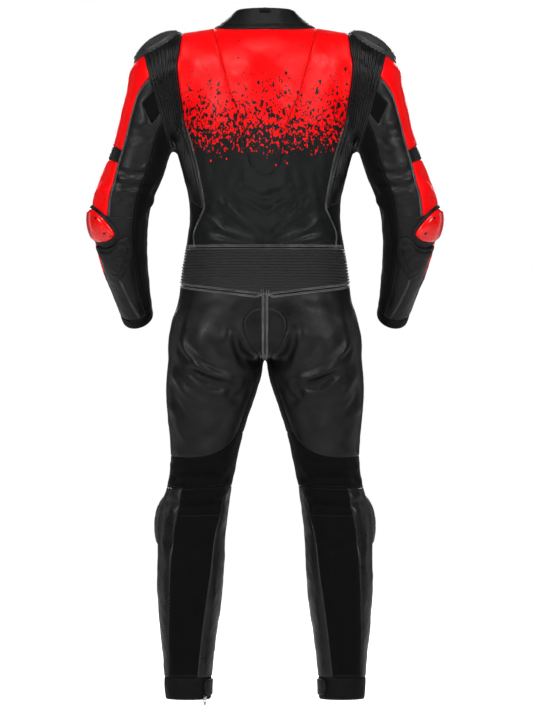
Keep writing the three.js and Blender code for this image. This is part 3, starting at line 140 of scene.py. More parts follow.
# Large folds of the solids: two ends, width and height out of the cloth. They hold on both sides of the suit.
largeFolds = [
    ((150, 100, -742), (62, 78, -792), 15, -7), ((172, 84, -702), (92, 96, -772), 13, 4),
    ((188, 62, -770), (96, 84, -826), 15, -5), ((196, 40, -812), (120, 82, -850), 14, 4),
    ((196, 30, -941), (72, 50, -948), 12, 4), ((198, 36, -966), (74, 40, -972), 11, -5),
    ((206, 36, -990), (80, 40, -997), 12, 5), ((214, 36, -1016), (84, 44, -1020), 11, -4),
    ((352, 40, -322), (232, 30, -352), 13, -4), ((352, 50, -346), (238, 20, -376), 12, 4),
    ((350, 48, -371), (244, 10, -399), 12, -5), ((290, -66, -380), (300, -88, -452), 16, -5),
    ((236, 60, -1090), (130, 80, -1112), 16, -3), ((110, 86, -425), (0, 86, -440), 16, -3),
    ((150, -70, -425), (20, -110, -440), 18, 3),
]



def tableAt(rows, key, at):
    keys = rows[key]
    at = np.clip(at, keys.min(), keys.max())
    sign = 1 if keys[-1] > keys[0] else -1
    i = np.clip(np.searchsorted(sign * keys, sign * at, side="right") - 1, 0, len(keys) - 2)
    a, d = np.maximum(i - 1, 0), np.minimum(i + 2, len(keys) - 1)
    span = keys[i + 1] - keys[i]
    t = (at - keys[i]) / span
    found = {}
    for name, values in rows.items():
        into = (values[i + 1] - values[a]) / (keys[i + 1] - keys[a]) * span
        away = (values[d] - values[i]) / (keys[d] - keys[i]) * span
        found[name] = (
            (2 * t**3 - 3 * t**2 + 1) * values[i] + (t**3 - 2 * t**2 + t) * into
            + (3 * t**2 - 2 * t**3) * values[i + 1] + (t**3 - t**2) * away
        )
    return found


def softMin(a, b, k):
    return np.minimum(a, b) - (np.maximum(k - np.abs(a - b), 0) / k) ** 2 * k / 4


def softMax(a, b, k):
    return -softMin(-a, -b, k)


def smooth(t):
    t = np.clip(t, 0, 1)
    return t * t * (3 - 2 * t)


def mix(a, b, t):
    return a + (b - a) * t


def tubeDistance(x, y, z, sections, squareness):
    s = tableAt(sections, "z", z)
    dx, dy = np.abs(x - s["x"]), np.abs(y - s["y"])
    level = ((dx / s["half"]) ** squareness + (dy / s["deep"]) ** squareness) ** (1 / squareness)
    r = np.hypot(dx, dy)
    return np.where(level < 1e-4, -np.minimum(s["half"], s["deep"]), r - r / np.maximum(level, 1e-4))


# How far each point is outside the suit's outer face; below zero inside it.
def suitDistance(points):
    x, y, z = points[..., 0], points[..., 1], points[..., 2]
    body = softMax(softMax(tubeDistance(x, y, z, trunk, 2.3), z + 48, 60), -700 - z, 50)
    along = np.clip(np.abs(x) / 172, 0, 1)
    past = np.maximum(np.abs(x) - 172, 0)
    yoke = np.sqrt(past**2 + (y - 8) ** 2 + (z - mix(-66, -80, along)) ** 2) - mix(62, 66, along)
    inRoot = np.sqrt((x / 150) ** 2 + ((y - 18) / 92) ** 2 + ((z + 70) / 78) ** 2)
    top = softMin(body, softMin(yoke, (inRoot - 1) * 78, 30), 50)
    tube = softMax(tubeDistance(np.abs(x), y, z, arms, 2), z + 95, 20)
    tube = softMax(tube, -700 - z, 10)
    ball = np.sqrt((np.abs(x) - 212) ** 2 + (y - 8) ** 2 + (z + 105) ** 2) - 70
    withArms = softMin(top, softMin(tube, ball, 26), 30)
    left = softMax(tubeDistance(x, y, z, legs, 2.1), z + 610, 30)
    right = softMax(tubeDistance(-x, y, z, legs, 2.1), z + 610, 30)
    return softMin(withArms, softMin(left, right, 16), 26)


def slopeAt(points):
    slope = np.empty_like(points)
    for axis in range(3):
        step = np.zeros(3)
        step[axis] = 0.5
        slope[..., axis] = suitDistance(points + step) - suitDistance(points - step)
    return slope


def outward(points):
    slope = slopeAt(points)
    return slope / np.maximum(np.linalg.norm(slope, axis=-1, keepdims=True), 1e-9)


# Moves points to the suit's outer face; those marked level keep their height.
def settle(points, level=False, rounds=14):
    points = np.array(points, float)
    for _ in range(rounds):
        slope = slopeAt(points)
        slope[..., 2] = np.where(level, 0, slope[..., 2])
        step = np.clip(-suitDistance(points) / np.maximum((slope**2).sum(-1), 1e-6), -30, 30)
        points += slope * step[..., None]
    return points


def shoot(start, way):
    start, way = np.broadcast_arrays(np.asarray(start, float), np.asarray(way, float))
    far = np.full(start.shape[:-1], 8.0)
    for _ in range(66):
        inside = suitDistance(start + way * far[..., None]) < 0
        if not inside.any():
            break
        far = np.where(inside, far + 6, far)
    near = far - 8
    for _ in range(22):
        middle = (near + far) / 2
        inside = suitDistance(start + way * middle[..., None]) < 0
        near, far = np.where(inside, middle, near), np.where(inside, far, middle)
    return start + way * near[..., None]


def spot(x, y, z):
    return np.stack(np.broadcast_arrays(np.asarray(x, float), np.asarray(y, float), np.asarray(z, float)), -1)


def behindAt(x, z):
    return shoot(spot(x, 0, z), (0, 1, 0))


def beforeAt(x, z):
    return shoot(spot(x, -5, z), (0, -1, 0))


def besideAt(z):
    return shoot(spot(0, sideY, z), (1, 0, 0))


def ridgeAt(x):
    return shoot(spot(x, ridgeY, -100), (0, 0, 1))


def legPoint(z, angle):
    s = tableAt(legs, "z", np.asarray(z, float))
    turn = np.radians(angle)
    return shoot(spot(s["x"], s["y"], z), spot(np.cos(turn), np.sin(turn), 0))


def neckPoint(at):
    s = tableAt(neckSeam, "at", np.asarray(at, float))
    found = settle(spot(s["x"], s["y"], s["z"]))
    corner = np.isclose(at, 3)
    return np.where(corner[..., None], ridgeAt(np.full(np.shape(at), 110.0)), found)


def sleevePoint(ring, angle):
    s = tableAt(sleeveRings, "ring", np.asarray(ring, float))
    centre = spot((s["outX"] + s["inX"]) / 2, s["y"], (s["outZ"] + s["inZ"]) / 2)
    across = spot(s["outX"] - s["inX"], 0, s["outZ"] - s["inZ"])
    across /= np.linalg.norm(across, axis=-1, keepdims=True)
    up = spot(-across[..., 2], 0, across[..., 0])
    pitch, turn = np.radians(s["pitch"])[..., None], np.radians(angle)[..., None]
    back = np.array((0.0, 1, 0)) * np.cos(pitch) - up * np.sin(pitch)
    return shoot(centre, across * np.cos(turn) + back * np.sin(turn))


def sleeveAngle(ring):
    share = smooth(np.asarray(ring, float) / 1.3)
    angles = armholeAngles + (sleeveAngles - armholeAngles) * share[..., None]
    turned = np.where(np.asarray(ring) < 7.6, np.interp(ring, *stripeEdge) - angles[..., 6], 0)
    return angles + turned[..., None] * besideEdge


# Points from a to b, going round an upright axis, then moved onto the suit.
def spread(a, b, count, level, sag=1):
    runs = []
    for i in range(count + 1):
        t = i / count
        angleA, angleB = np.arctan2(a[..., 1], a[..., 0]), np.arctan2(b[..., 1], b[..., 0])
        turn = (angleB - angleA + math.pi) % (2 * math.pi) - math.pi
        angle = angleA + turn * t
        radius = mix(np.hypot(a[..., 0], a[..., 1]), np.hypot(b[..., 0], b[..., 1]), t)
        runs.append(spot(radius * np.cos(angle), radius * np.sin(angle), mix(a[..., 2], b[..., 2], t**sag)))
    runs = np.stack(runs, -2)
    placed = settle(runs, np.asarray(level)[..., None])
    placed[..., 0, :], placed[..., -1, :] = a, b
    return placed


def alongRidge(a, b, count):
    placed = ridgeAt(np.linspace(a[0], b[0], count + 1))
    placed[0], placed[-1] = a, b
    return placed


def joinRuns(*runs):
    return np.concatenate([run if i == 0 else run[..., 1:, :] for i, run in enumerate(runs)], -2)


def makeBack():
    rows = np.arange(17)
    corner, seam = behindAt(backRows["humpX"], backRows["humpZ"]), behindAt(backRows["seamX"], backRows["seamZ"])
    middle = behindAt(0 * rows, backRows["middleZ"])
    armhole = sleevePoint(np.zeros(11), armholeAngles[3:14])
    end = np.concatenate([armhole, besideAt(backRows["sideZ"][11:])])
    level = rows > 10
    sag = 1 + 1.6 * np.exp(-(((rows - 10) / 1.4) ** 2))  # the hump ends in a round
    grid = joinRuns(spread(middle, corner, humpColumns, level, sag), spread(corner, seam, backColumns, level),
                    spread(seam, end, sideColumns, level))
    neck = neckPoint(np.linspace(0, 3, humpColumns + 1))
    seamTop = ridgeAt(np.array([174.0]))[0]
    grid[0] = joinRuns(neck, alongRidge(neck[-1], seamTop, backColumns), alongRidge(seamTop, armhole[0], sideColumns))
    return grid


def makeFront():
    rows = np.arange(20)
    start, edge = beforeAt(0 * rows, frontRows["middleZ"]), beforeAt(0 * rows + zipHalf, frontRows["middleZ"])
    line = beforeAt(frontRows["lineX"], frontRows["lineZ"])
    angles = np.array([armholeAngles[3 - i] if i < 4 else armholeAngles[23 - i] for i in range(11)])
    armhole = sleevePoint(np.zeros(11), angles)
    sideZ = np.concatenate([backRows["sideZ"][11:17], frontRows["middleZ"][17:]])
    end = np.concatenate([armhole, besideAt(sideZ)])
    level = rows > 10
    grid = joinRuns(np.stack([start, edge], 1), spread(edge, line, frontColumns, level),
                    spread(line, end, besideColumns, level))
    neck = neckPoint(np.array([6.0, 5.72, 5.04, 4.36, 3.68, 3.0]))
    grid[0] = joinRuns(neck, alongRidge(neck[-1], armhole[0], besideColumns))
    return grid


def makeLeg():
    backHalf = humpColumns + backColumns
    s = upperRows
    rows = s["row"]
    crotch = rows == 6
    under = shoot(spot(0, np.linspace(crotchBackY, crotchFrontY, gussetColumns + 1), -640), (0, 0, -1))
    under = np.broadcast_to(under, (7, gussetColumns + 1, 3)).copy()
    side, seam = besideAt(s["sideZ"]), behindAt(s["seamX"], s["seamZ"])
    back = np.where(crotch[:, None], under[:, 0], behindAt(0 * rows, s["backZ"]))
    middle = np.where(crotch[:, None], under[:, -1], beforeAt(0 * rows, s["frontZ"]))
    corner = settle(spot(zipHalf, crotchFrontY - 8, under[6, -1, 2] - 2))
    beside = np.where(crotch[:, None], corner, beforeAt(0 * rows + zipHalf, s["frontZ"]))
    under[:, 0], under[:, -1] = back, middle
    upper = joinRuns(spread(side, seam, sideColumns, True), spread(seam, back, backHalf, ~crotch), under,
                     np.stack([middle, beside], 1), spread(beside, side, frontColumns + besideColumns, ~crotch))
    s = {name: values[:, None] for name, values in lowerRows.items()}
    t = [np.linspace(0, 1, n + 1)[None] for n in (sideColumns, backHalf, gussetColumns, frontColumns + besideColumns + 1)]
    lower = joinRuns(
        legPoint(mix(s["sideZ"], s["seamZ"], t[0]), mix(2, s["seam"], t[0])),
        legPoint(mix(s["seamZ"], s["backZ"], t[1] ** s["bend"]), mix(s["seam"], s["back"], t[1])),
        legPoint(mix(s["backZ"], s["frontZ"], t[2]), mix(s["back"], s["front"], t[2])),
        legPoint(mix(s["frontZ"], s["sideZ"], smooth(t[3])), mix(s["front"], 362, t[3])),
    )
    return np.concatenate([upper, lower])



def makeWaist(back, leg):
    top, low = back[16], leg[0, 10::-1]
    rows = [top] + [settle(mix(top, low, t), True) for t in (0.25, 0.5, 0.75)] + [low]
    return np.stack(rows)


def makeCollar():
    at = np.concatenate([np.linspace(0, 3, 25), np.linspace(3, 5.72, 23)[1:]])
    low, high = neckPoint(at), tableAt(collarTop, "at", at)
    high = spot(high["x"], high["y"], high["z"])
    return np.stack([mix(low, high, t) * (1 - 0.03 * math.sin(math.pi * t)) for t in np.linspace(0, 1, 14)])


# Points between those of a grid, on smooth curves through them.
def resample(grid, rowsAt, columnsAt):
    for axis, at in ((0, np.asarray(rowsAt)), (1, np.asarray(columnsAt))):
        count = grid.shape[axis]
        i = np.clip(np.floor(at).astype(int), 0, count - 2)
        shape = [1] * grid.ndim
        shape[axis] = -1
        t = (at - i).reshape(shape)
        a, b, c, d = (np.take(grid, np.clip(i + k, 0, count - 1), axis) for k in (-1, 0, 1, 2))
        into = (c - a) / np.where(i > 0, 2, 1).reshape(shape)
        away = (d - b) / np.where(i < count - 2, 2, 1).reshape(shape)
        grid = (
            (2 * t**3 - 3 * t**2 + 1) * b + (t**3 - 2 * t**2 + t) * into
            + (3 * t**2 - 2 * t**3) * c + (t**3 - t**2) * away
        )
    return grid


# Where the fine lines of a grid run: about a pitch apart, with one more close to each seam.
def linesOf(grid, axis, seams, pitch, dense=()):
    across = grid if axis == 1 else grid.swapaxes(0, 1)
    widths = np.linalg.norm(np.diff(across, axis=1), axis=2).mean(0)
    at = [float(len(widths))]
    for i, width in enumerate(widths):
        given = next((parts for low, high, parts in dense if low <= i < high), None)
        parts = given or max(1, math.ceil(width / pitch))
        at += [i + k / parts for k in range(parts)]
        if not given:
            at += [i + 1.7 / width] * (i in seams) + [i + 1 - 1.7 / width] * (i + 1 in seams)
    return np.unique(np.round(at, 5))


cloth = {"pitch": 5.0, "seamDip": 1.3, "puff": 0.5, "thick": 2.1, "unevenness": 1.2, "creaseDepth": 2.2, "seed": 7}

# Creases seen on the back, as photograph places: x and z of start, middle and end, then width and height.
# Each is made on both sides, a little differently.
backCreases = [
    (18, -462, 60, -446, 128, -424, 7, 1.6), (-6, -450, 70, -412, 118, -352, 9, 1.9),
    (24, -426, 62, -398, 96, -338, 8, -1.4), (-14, -408, 44, -376, 84, -344, 9, 1.5),
    (-20, -372, 34, -362, 62, -338, 8, 1.2), (36, -458, 86, -438, 136, -398, 6, 1.3),
    
    (52, -300, 60, -340, 70, -392, 9, -1.0), (96, -300, 104, -344, 112, -400, 9, 1.0),
    (30, -468, 74, -460, 120, -452, 6, 1.4), (128, -250, 122, -300, 118, -350, 8, 0.9),
    (58, -190, 62, -230, 60, -280, 8, -0.9),
]
seatCreases = [
    (116, -664, 104, -700, 84, -722, 14, -1.6), (176, -672, 166, -708, 100, -742, 9, 3.0),
    (184, -682, 178, -700, 158, -716, 7, -1.9), (166, -716, 120, -742, 50, -756, 9, 3.4),
    (160, -732, 116, -756, 62, -766, 8, -3.4), (164, -742, 128, -774, 82, -790, 8, 2.8),
    (128, -766, 100, -784, 66, -782, 7, 2.2), (150, -752, 116, -772, 76, -770, 6, -2.2),
    (62, -746, 60, -770, 78, -788, 7, -2.0), (202, -720, 176, -790, 118, -812, 11, 2.0),
    (206, -760, 190, -810, 150, -846, 10, -1.4), (78, -640, 72, -692, 48, -732, 9, 2.4),
    (72, -812, 88, -850, 120, -880, 9, -1.2), (196, -826, 176, -880, 146, -904, 12, 1.3),
    (63, -652, 60, -692, 40, -720, 11, -4.4), (44, -690, 34, -716, 12, -724, 9, -3.0),
    (150, -568, 168, -640, 186, -700, 14, 1.1), (30, -590, 96, -606, 150, -596, 15, 0.9),
]
kneeCreases = [
    (214, -930, 150, -946, 76, -934, 7, 1.6), (210, -948, 150, -962, 70, -952, 6, -1.8),
    (212, -966, 140, -976, 74, -968, 7, 1.7), (214, -978, 150, -985, 78, -980, 4, -1.7),
    (216, -998, 150, -1012, 84, -994, 8, 1.7), (206, -1016, 140, -1028, 88, -1006, 6, -1.6),
    (160, -1034, 120, -1030, 90, -1014, 6, 1.4),
]
calfCreases = [
    (208, -1006, 200, -1034, 184, -1044, 11, 1.1), (212, -1078, 200, -1112, 186, -1128, 13, -0.9),
    (208, -1122, 200, -1154, 188, -1178, 12, 0.8), (206, -1190, 200, -1236, 190, -1262, 13, 0.7),
    (104, -1012, 114, -1044, 124, -1070, 10, 1.0), (104, -1100, 114, -1130, 120, -1160, 12, -0.8),
    (108, -1180, 112, -1230, 118, -1280, 12, 0.6), (206, -1290, 200, -1320, 194, -1370, 12, 0.6),
]
sleeveCreases = [
    (236, -210, 256, -214, 286, -206, 9, 1.4), (222, -232, 262, -246, 296, -238, 9, -1.2),
    (232, -300, 270, -312, 306, -300, 7, 1.6), (236, -312, 276, -324, 312, -312, 6, -1.6),
    (240, -326, 280, -338, 318, -324, 7, 1.7), (238, -338, 276, -352, 316, -340, 5, -1.6),
    (244, -352, 282, -362, 318, -356, 6, 1.5), (250, -372, 286, -384, 312, -372, 8, 1.1),
    (262, -400, 276, -440, 276, -500, 9, 0.8), (278, -520, 270, -560, 262, -600, 8, -0.8),
    (300, -250, 312, -258, 332, -250, 7, 0.8), (318, -310, 334, -322, 350, -308, 6, -1.0),
]
frontCreases = [
    (20, -450, 70, -430, 130, -420, 10, 1.6), (24, -420, 80, -398, 140, -384, 10, -1.3),
    (40, -620, 96, -664, 150, -700, 12, 1.5), (26, -690, 90, -720, 170, -736, 11, -1.6),
    (60, -300, 90, -340, 120, -370, 12, 1.0), (100, -880, 150, -900, 200, -890, 10, 1.1),
    (60, -150, 100, -190, 140, -210, 12, 1.0),
]


# Rounded ups and downs of the cloth, the same in each run.
def ripples(points, size, seed):
    random = np.random.default_rng(seed)
    total = 0
    for _ in range(5):
        ways = random.normal(size=(2, 3))
        ways /= np.linalg.norm(ways, axis=1, keepdims=True)
        a, b = random.uniform(0, 6.3, 2)
        total = total + np.sin(points @ ways[0] * 6.3 / size + a) * np.sin(points @ ways[1] * 4.6 / size + b)
    return total / 3


def foldHeight(points):
    here = np.concatenate([np.abs(points[..., :1]), points[..., 1:]], -1)
    height = np.zeros(points.shape[:-1])
    for a, b, width, out in largeFolds:
        a, b = np.array(a, float), np.array(b, float)
        t = np.clip(((here - a) @ (b - a)) / ((b - a) @ (b - a)), 0, 1)
        away = np.linalg.norm(here - (a + (b - a) * t[..., None]), axis=-1)
        height += out * np.exp(-((away / width) ** 2))
    return height


def creaseHeight(points, creases, onFront=False, seed=1):
    flat = points.reshape(-1, 3)
    height = np.zeros(len(flat))
    random = np.random.default_rng(seed)
    for side, crease in [(side, crease) for side in (1, -1) for crease in creases]:
        x0, z0, x1, z1, x2, z2, width, out = crease
        move = random.uniform(-3, 3, 6)
        out = out * random.uniform(0.8, 1.2) * cloth["creaseDepth"]
        t = np.linspace(0, 1, 26)
        curve = [(1 - t) ** 2 * p + 2 * t * (1 - t) * q + t**2 * r for p, q, r in
                 ((x0 + move[0], x1 + move[1], x2 + move[2]), (z0 + move[3], z1 + move[4], z2 + move[5]))]
        found = (beforeAt if onFront else behindAt)(curve[0], curve[1])
        line = found * np.array((side, 1, 1))
        low, high = line.min(0) - 3 * width, line.max(0) + 3 * width
        near = np.flatnonzero(((flat > low) & (flat < high)).all(1))
        if not len(near):
            continue
        gap = flat[near][:, None, :] - line[None]
        away = (gap**2).sum(-1)
        k = away.argmin(1)
        away = np.sqrt(away[np.arange(len(near)), k])
        along = np.gradient(line, axis=0)
        up = spot(-along[:, 2] * side, 0, along[:, 0] * side)
        up /= np.maximum(np.linalg.norm(up, axis=1, keepdims=True), 1e-6)
        s = (gap[np.arange(len(near)), k] * up[k]).sum(1)
        ends = np.sin(np.pi * np.clip(k / 25, 0.02, 0.98)) ** 0.7
        height[near] += out * ends * (np.exp(-((away / width) ** 2)) - 0.55 * np.exp(-(((s + 1.5 * width) / width) ** 2))
                                      * np.exp(-((away / (2.4 * width)) ** 2)))
    return height.reshape(points.shape[:-1])


blocks = {}


# A block holds the fine grid of one side of the suit, the panel that each of its cells belongs to, and its folds.
def addBlock(name, grid, rowSeams, columnSeams, panelAt, pitch=None, denseRows=(), denseColumns=(), onSuit=True,
             shared=(), closed=False, joined=()):
    pitch = pitch or cloth["pitch"]
    toMiddle = len(shared) and abs(grid[0, 0, 0]) < 1e-6
    rowsAt = linesOf(grid, 0, rowSeams, pitch, denseRows)
    columnsAt = linesOf(grid, 1, columnSeams, pitch, denseColumns)
    if toMiddle:
        points = resample(np.concatenate([grid[:, 1:2] * np.array((-1, 1, 1)), grid], 1), rowsAt, columnsAt + 1)
    else:
        points = resample(grid, rowsAt, columnsAt)
    if onSuit:
        points = settle(points, rounds=5)
        for edge in shared:
            points[edge] = points[edge] * np.array((0.0, 1, 1))
        normals = outward(points)
    else:
        along, down = np.gradient(points, axis=1), np.gradient(points, axis=0)
        normals = np.cross(along, down)
        normals /= np.linalg.norm(normals, axis=-1, keepdims=True)
        normals *= np.sign((normals[:, :5, 1]).sum())
        normals[:, 0, 0] = 0
    r, c = (rowsAt[1:] + rowsAt[:-1]) / 2, (columnsAt[1:] + columnsAt[:-1]) / 2
    cells = np.vectorize(panelAt, otypes=[object])(r[:, None], c[None, :])
    ids = {label: k for k, label in enumerate(sorted(set(cells.ravel())))}
    ids.update({a: ids[b] for a, b in joined if b in ids})  # pieces that meet without a visible seam
    number = np.vectorize(ids.get)(cells)
    wide = np.pad(number, 1, constant_values=-1)
    if closed:
        wide[1:-1, 0], wide[1:-1, -1] = number[:, -1], number[:, 0]
    around = np.stack([wide[:-1, :-1], wide[:-1, 1:], wide[1:, :-1], wide[1:, 1:]])
    atSeam = (around != around[0]).any(0)
    for edge in shared:
        atSeam[edge] = False
    seamPoints = points[atSeam]
    tree = kdtree.KDTree(max(1, 8 * len(seamPoints)))
    count = 0
    for i, j in zip(*np.nonzero(atSeam)):
        for di, dj in ((0, 1), (1, 0)):
            if i + di < len(rowsAt) and j + dj < len(columnsAt) and atSeam[i + di, j + dj]:
                for t in (0, 0.25, 0.5, 0.75):
                    tree.insert(mix(points[i, j], points[i + di, j + dj], t), count)
                    count += 1
    tree.balance()
    away = np.array([tree.find(p)[2] if count else 99.0 for p in points.reshape(-1, 3)]).reshape(points.shape[:2])
    blocks[name] = {"rowsAt": rowsAt, "columnsAt": columnsAt, "points": points, "normals": normals,
                    "cells": cells, "away": away, "out": {}}
    return blocks[name]


def shapeBlock(block, creases=(), more=None, dip=None, frontCreaseList=(), ripple=1.0):
    dip = cloth["seamDip"] if dip is None else dip
    away = block["away"]
    seam = -dip * np.exp(-((away / 1.6) ** 2)) + cloth["puff"] * smooth(away / 14)
    for side in (1, -1):
        points = block["points"] * np.array((side, 1, 1))
        out = seam + foldHeight(points)
        calm = smooth(away / 9)
        out = out + creaseHeight(points, creases) * mix(0.35, 1, calm)
        if len(frontCreaseList):
            out = out + creaseHeight(points, frontCreaseList, True) * mix(0.35, 1, calm)
        wave = 0.55 * ripples(points, 46, cloth["seed"]) + 0.3 * ripples(points, 19, cloth["seed"] + 3)
        out = out + cloth["unevenness"] * ripple * wave * calm
        block["out"][side] = out + (0 if more is None else more)
    return block


def surface(block, side):
    flip = np.array((side, 1, 1))
    return (block["points"] + block["normals"] * block["out"][side][..., None]) * flip


# Panels: each is the cells of a block with its own letter.
def backPanel(r, c):
    if c < backHalf:
        return "hump" if r < 10 and c < humpColumns else "backPanel"
    return "accordion" if r < 13 else "side"


def frontPanel(r, c):
    return "none" if c < 1 else "front"


def legPanel(r, c):
    if r > 24:
        return "hem"
    if r > 17:
        return "calf" if 3 < c < 10 else "shin"
    if r > 11:
        return "shin" if c > 15 or (r > 14 and not 3 < c < 10) else "knee"
    if c < 10:
        return "seat"
    if c < 15:
        return "gusset" if r > 6 else "none"
    return "none" if r < 3 and c < 16 else "thigh"


def sleevePanel(r, c):
    if r > 15:
        return "cuff"
    if c > 10:
        return "inner"
    if r > 10:
        return "forearmStripe" if c < 4 else "forearmBack"
    if r < 2 and 7 < c < 9:
        return "patch"
    if c > 6 or 6 < r < 7:
        return "sleeveBack"
    return "stripe" if r < 6 else "lowerStripe"


backHalf = humpColumns + backColumns
back, front, leg = makeBack(), makeFront(), makeLeg()
rings = np.array(sleeveRows, float)
sleeve = sleevePoint(rings[:, None] + 0 * armholeAngles, sleeveAngle(rings))
print("seam grids ready:", back.shape, front.shape, leg.shape, sleeve.shape)

accordion = {"ribs": 9, "height": 3.6, "linesPerRib": 8, "fadeRows": 4.0}
waist = {"ribs": 16, "height": 2.6, "linesPerRib": 6, "ribPitch": 6.2}
hump = {"rise": 8.6}
zipTape = {"chainWidth": 5.5, "chainHeight": 1.2}

backBlock = addBlock("back", back, (0, 10, 13, 16), (4, 7, 10), backPanel,
                     denseColumns=((backHalf, 10, accordion["ribs"] * accordion["linesPerRib"] // 3),), shared=((slice(1, -1), 0),), joined=(("side", "accordion"),))
r, c = backBlock["rowsAt"][:, None], backBlock["columnsAt"][None, :]
rise = hump["rise"] * smooth(r / 3) * smooth((10 - r) / 5) * smooth(1.15 - c / humpColumns)
u = np.clip((c - backHalf) / 3, 0, 1)
ribs = (0.5 - 0.5 * np.cos(2 * np.pi * accordion["ribs"] * u)) ** 1.3
pleats = accordion["height"] * ribs * smooth((13 - r) / accordion["fadeRows"]) * smooth((r + 0.4) / 1.2) * (u > 0)
shapeBlock(backBlock, backCreases, rise + pleats)

frontBlock = addBlock("front", front, (0, 19), (1, 5, 8), frontPanel, shared=((slice(1, -1), 0),))
shapeBlock(frontBlock, (), frontCreaseList=frontCreases)

legBlock = addBlock("leg", leg, (0, 11, 14, 17, 24), (0, 3, 10, 15, 16, 23), legPanel, shared=(), closed=True)
onCrotch = np.isclose(legBlock["rowsAt"], 6)
gussetLine = onCrotch[:, None] & (legBlock["columnsAt"] > 10.01)[None] & (legBlock["columnsAt"] < 14.99)[None]
legBlock["points"][gussetLine] *= np.array((0.0, 1, 1))
shapeBlock(legBlock, seatCreases + kneeCreases + calfCreases, frontCreaseList=frontCreases)

sleeveBlock = addBlock("sleeve", sleeve, (0, 2, 6, 7, 10, 15, 16), (0, 4, 6, 7, 9, 10, 20), sleevePanel, closed=True,
                       joined=(("forearmBack", "sleeveBack"),))
shapeBlock(sleeveBlock, sleeveCreases)

waistGrid = makeWaist(back, leg)
waistBlock = addBlock("waist", waistGrid, (0, 4), (10,), lambda r, c: "waist",
                      denseRows=((0, 4, waist["ribs"] * waist["linesPerRib"] // 4),), shared=((slice(None), 0),))
t = waistBlock["rowsAt"][:, None] / 4
down = backRows["sideZ"][16] - waistBlock["points"][..., 2]
ribs = (0.5 - 0.5 * np.cos(2 * np.pi * down / waist["ribPitch"])) ** 1.3
shapeBlock(waistBlock, (), waist["height"] * ribs * smooth(t * 22) * smooth((1 - t) * 22), ripple=0.4)

zipGrid = np.concatenate([front[:, :2], leg[1:4, 15:17]])
zipBlock = addBlock("zip", zipGrid, (0, 22), (1,), lambda r, c: "zip", denseColumns=((0, 1, 8),),
                    shared=((slice(None), 0),))
middle = np.abs(zipBlock["points"][..., 0])
shapeBlock(zipBlock, (), zipTape["chainHeight"] * smooth((zipTape["chainWidth"] / 2 + 1 - middle) / 1.6), ripple=0.3)

collarBlock = addBlock("collar", makeCollar(), (0, 13), (47,), lambda r, c: "collar", onSuit=False,
                       shared=((slice(None), 0),))
away = collarBlock["away"]
for side in (1, -1):
    points = collarBlock["points"] * np.array((side, 1, 1))
    band = -0.9 * np.exp(-(((collarBlock["rowsAt"][:, None] - 3.2) / 0.35) ** 2))
    collarBlock["out"][side] = 0.5 * ripples(points, 34, 11) * smooth(away / 8) + band - 0.8 * np.exp(-((away / 1.6) ** 2))
print("blocks shaped:", {name: block["points"].shape[:2] for name, block in blocks.items()})


def meshFrom(name, points, faces, seam=None):
    mesh = bpy.data.meshes.new(name)
    mesh.from_pydata((np.asarray(points) / 1000).tolist(), [], np.asarray(faces).tolist())
    if seam is not None:
        mesh.attributes.new("seam", "FLOAT", "POINT").data.foreach_set("value", np.asarray(seam, np.float32))
    mesh.validate()
    piece = bpy.data.objects.new(name, mesh)
    bpy.context.scene.collection.objects.link(piece)
    return piece


def joinDoubles(piece, distance=2e-5):
    work = bmesh.new()
    work.from_mesh(piece.data)
    bmesh.ops.remove_doubles(work, verts=work.verts, dist=distance)
    work.to_mesh(piece.data)
    work.free()


# Faces of one side of a block that carry a label, facing out.
def facesOf(block, label, side):
    count = block["points"].shape[1]
    i, j = np.nonzero(block["cells"] == label)
    a, b = i * count + j, i * count + j + 1
    faces = np.stack([a, a + count, b + count, b], 1)
    corner = block["points"].reshape(-1, 3)[faces]
    turn = np.cross(corner[:, 2] - corner[:, 0], corner[:, 3] - corner[:, 1]) * block["normals"].reshape(-1, 3)[faces[:, 0]]
    return faces if (turn.sum() > 0) == (side > 0) else faces[:, ::-1]


def panelArea(points, faces):
    p = points[faces]
    return 0.5 * np.linalg.norm(np.cross(p[:, 2] - p[:, 0], p[:, 3] - p[:, 1]), axis=1).sum()


flatSizes = {}


# One cut piece of cloth from parts of blocks, made a wall of real thickness, with its flat size recorded in flatSizes.
def addPanel(name, parts, material, replaces=None, thick=None):
    points, faces, seam, start, wide, long = [], [], [], 0, 0, 0
    for block, label, side in parts:
        shape = surface(block, side).reshape(-1, 3)
        own = facesOf(block, label, side)
        used, index = np.unique(own, return_inverse=True)
        points.append(shape[used])
        seam.append(block["away"].reshape(-1)[used])
        faces.append(index.reshape(-1, 4) + start)
        start += len(used)
        grid = shape.reshape(block["points"].shape)
        cells = block["cells"] == label
        across = (np.linalg.norm(np.diff(grid, axis=1), axis=2)[:-1] * cells).sum(1).max()
        down = (np.linalg.norm(np.diff(grid, axis=0), axis=2)[:, :-1] * cells).sum(0).max()
        wide, long = wide + across, max(long, down)
    if len({id(p[0]) for p in parts}) > 1:
        wide, long = max(wide / 2, 1), long
    points, faces, seam = np.concatenate(points), np.concatenate(faces), np.concatenate(seam)
    piece = meshFrom(f"{name}_cloth", points, faces, seam)
    joinDoubles(piece)
    piece.data.materials.append(material)
    piece.data.shade_smooth()
    wall = piece.modifiers.new("wall", "SOLIDIFY")
    wall.thickness = (thick or cloth["thick"]) / 1000
    wall.offset = -1
    area = panelArea(points / 1000, faces)
    wide, long = wide / 1000, long / 1000
    if area > wide * long:
        wide = area / long * 1.001
    if area < 0.31 * wide * long:
        wide = area / 0.31 / long
    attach(piece, "suit")
    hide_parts(replaces or name)
    flatSizes[name] = (round(wide * 1000), round(long * 1000), round(area * 1e4))
    return piece


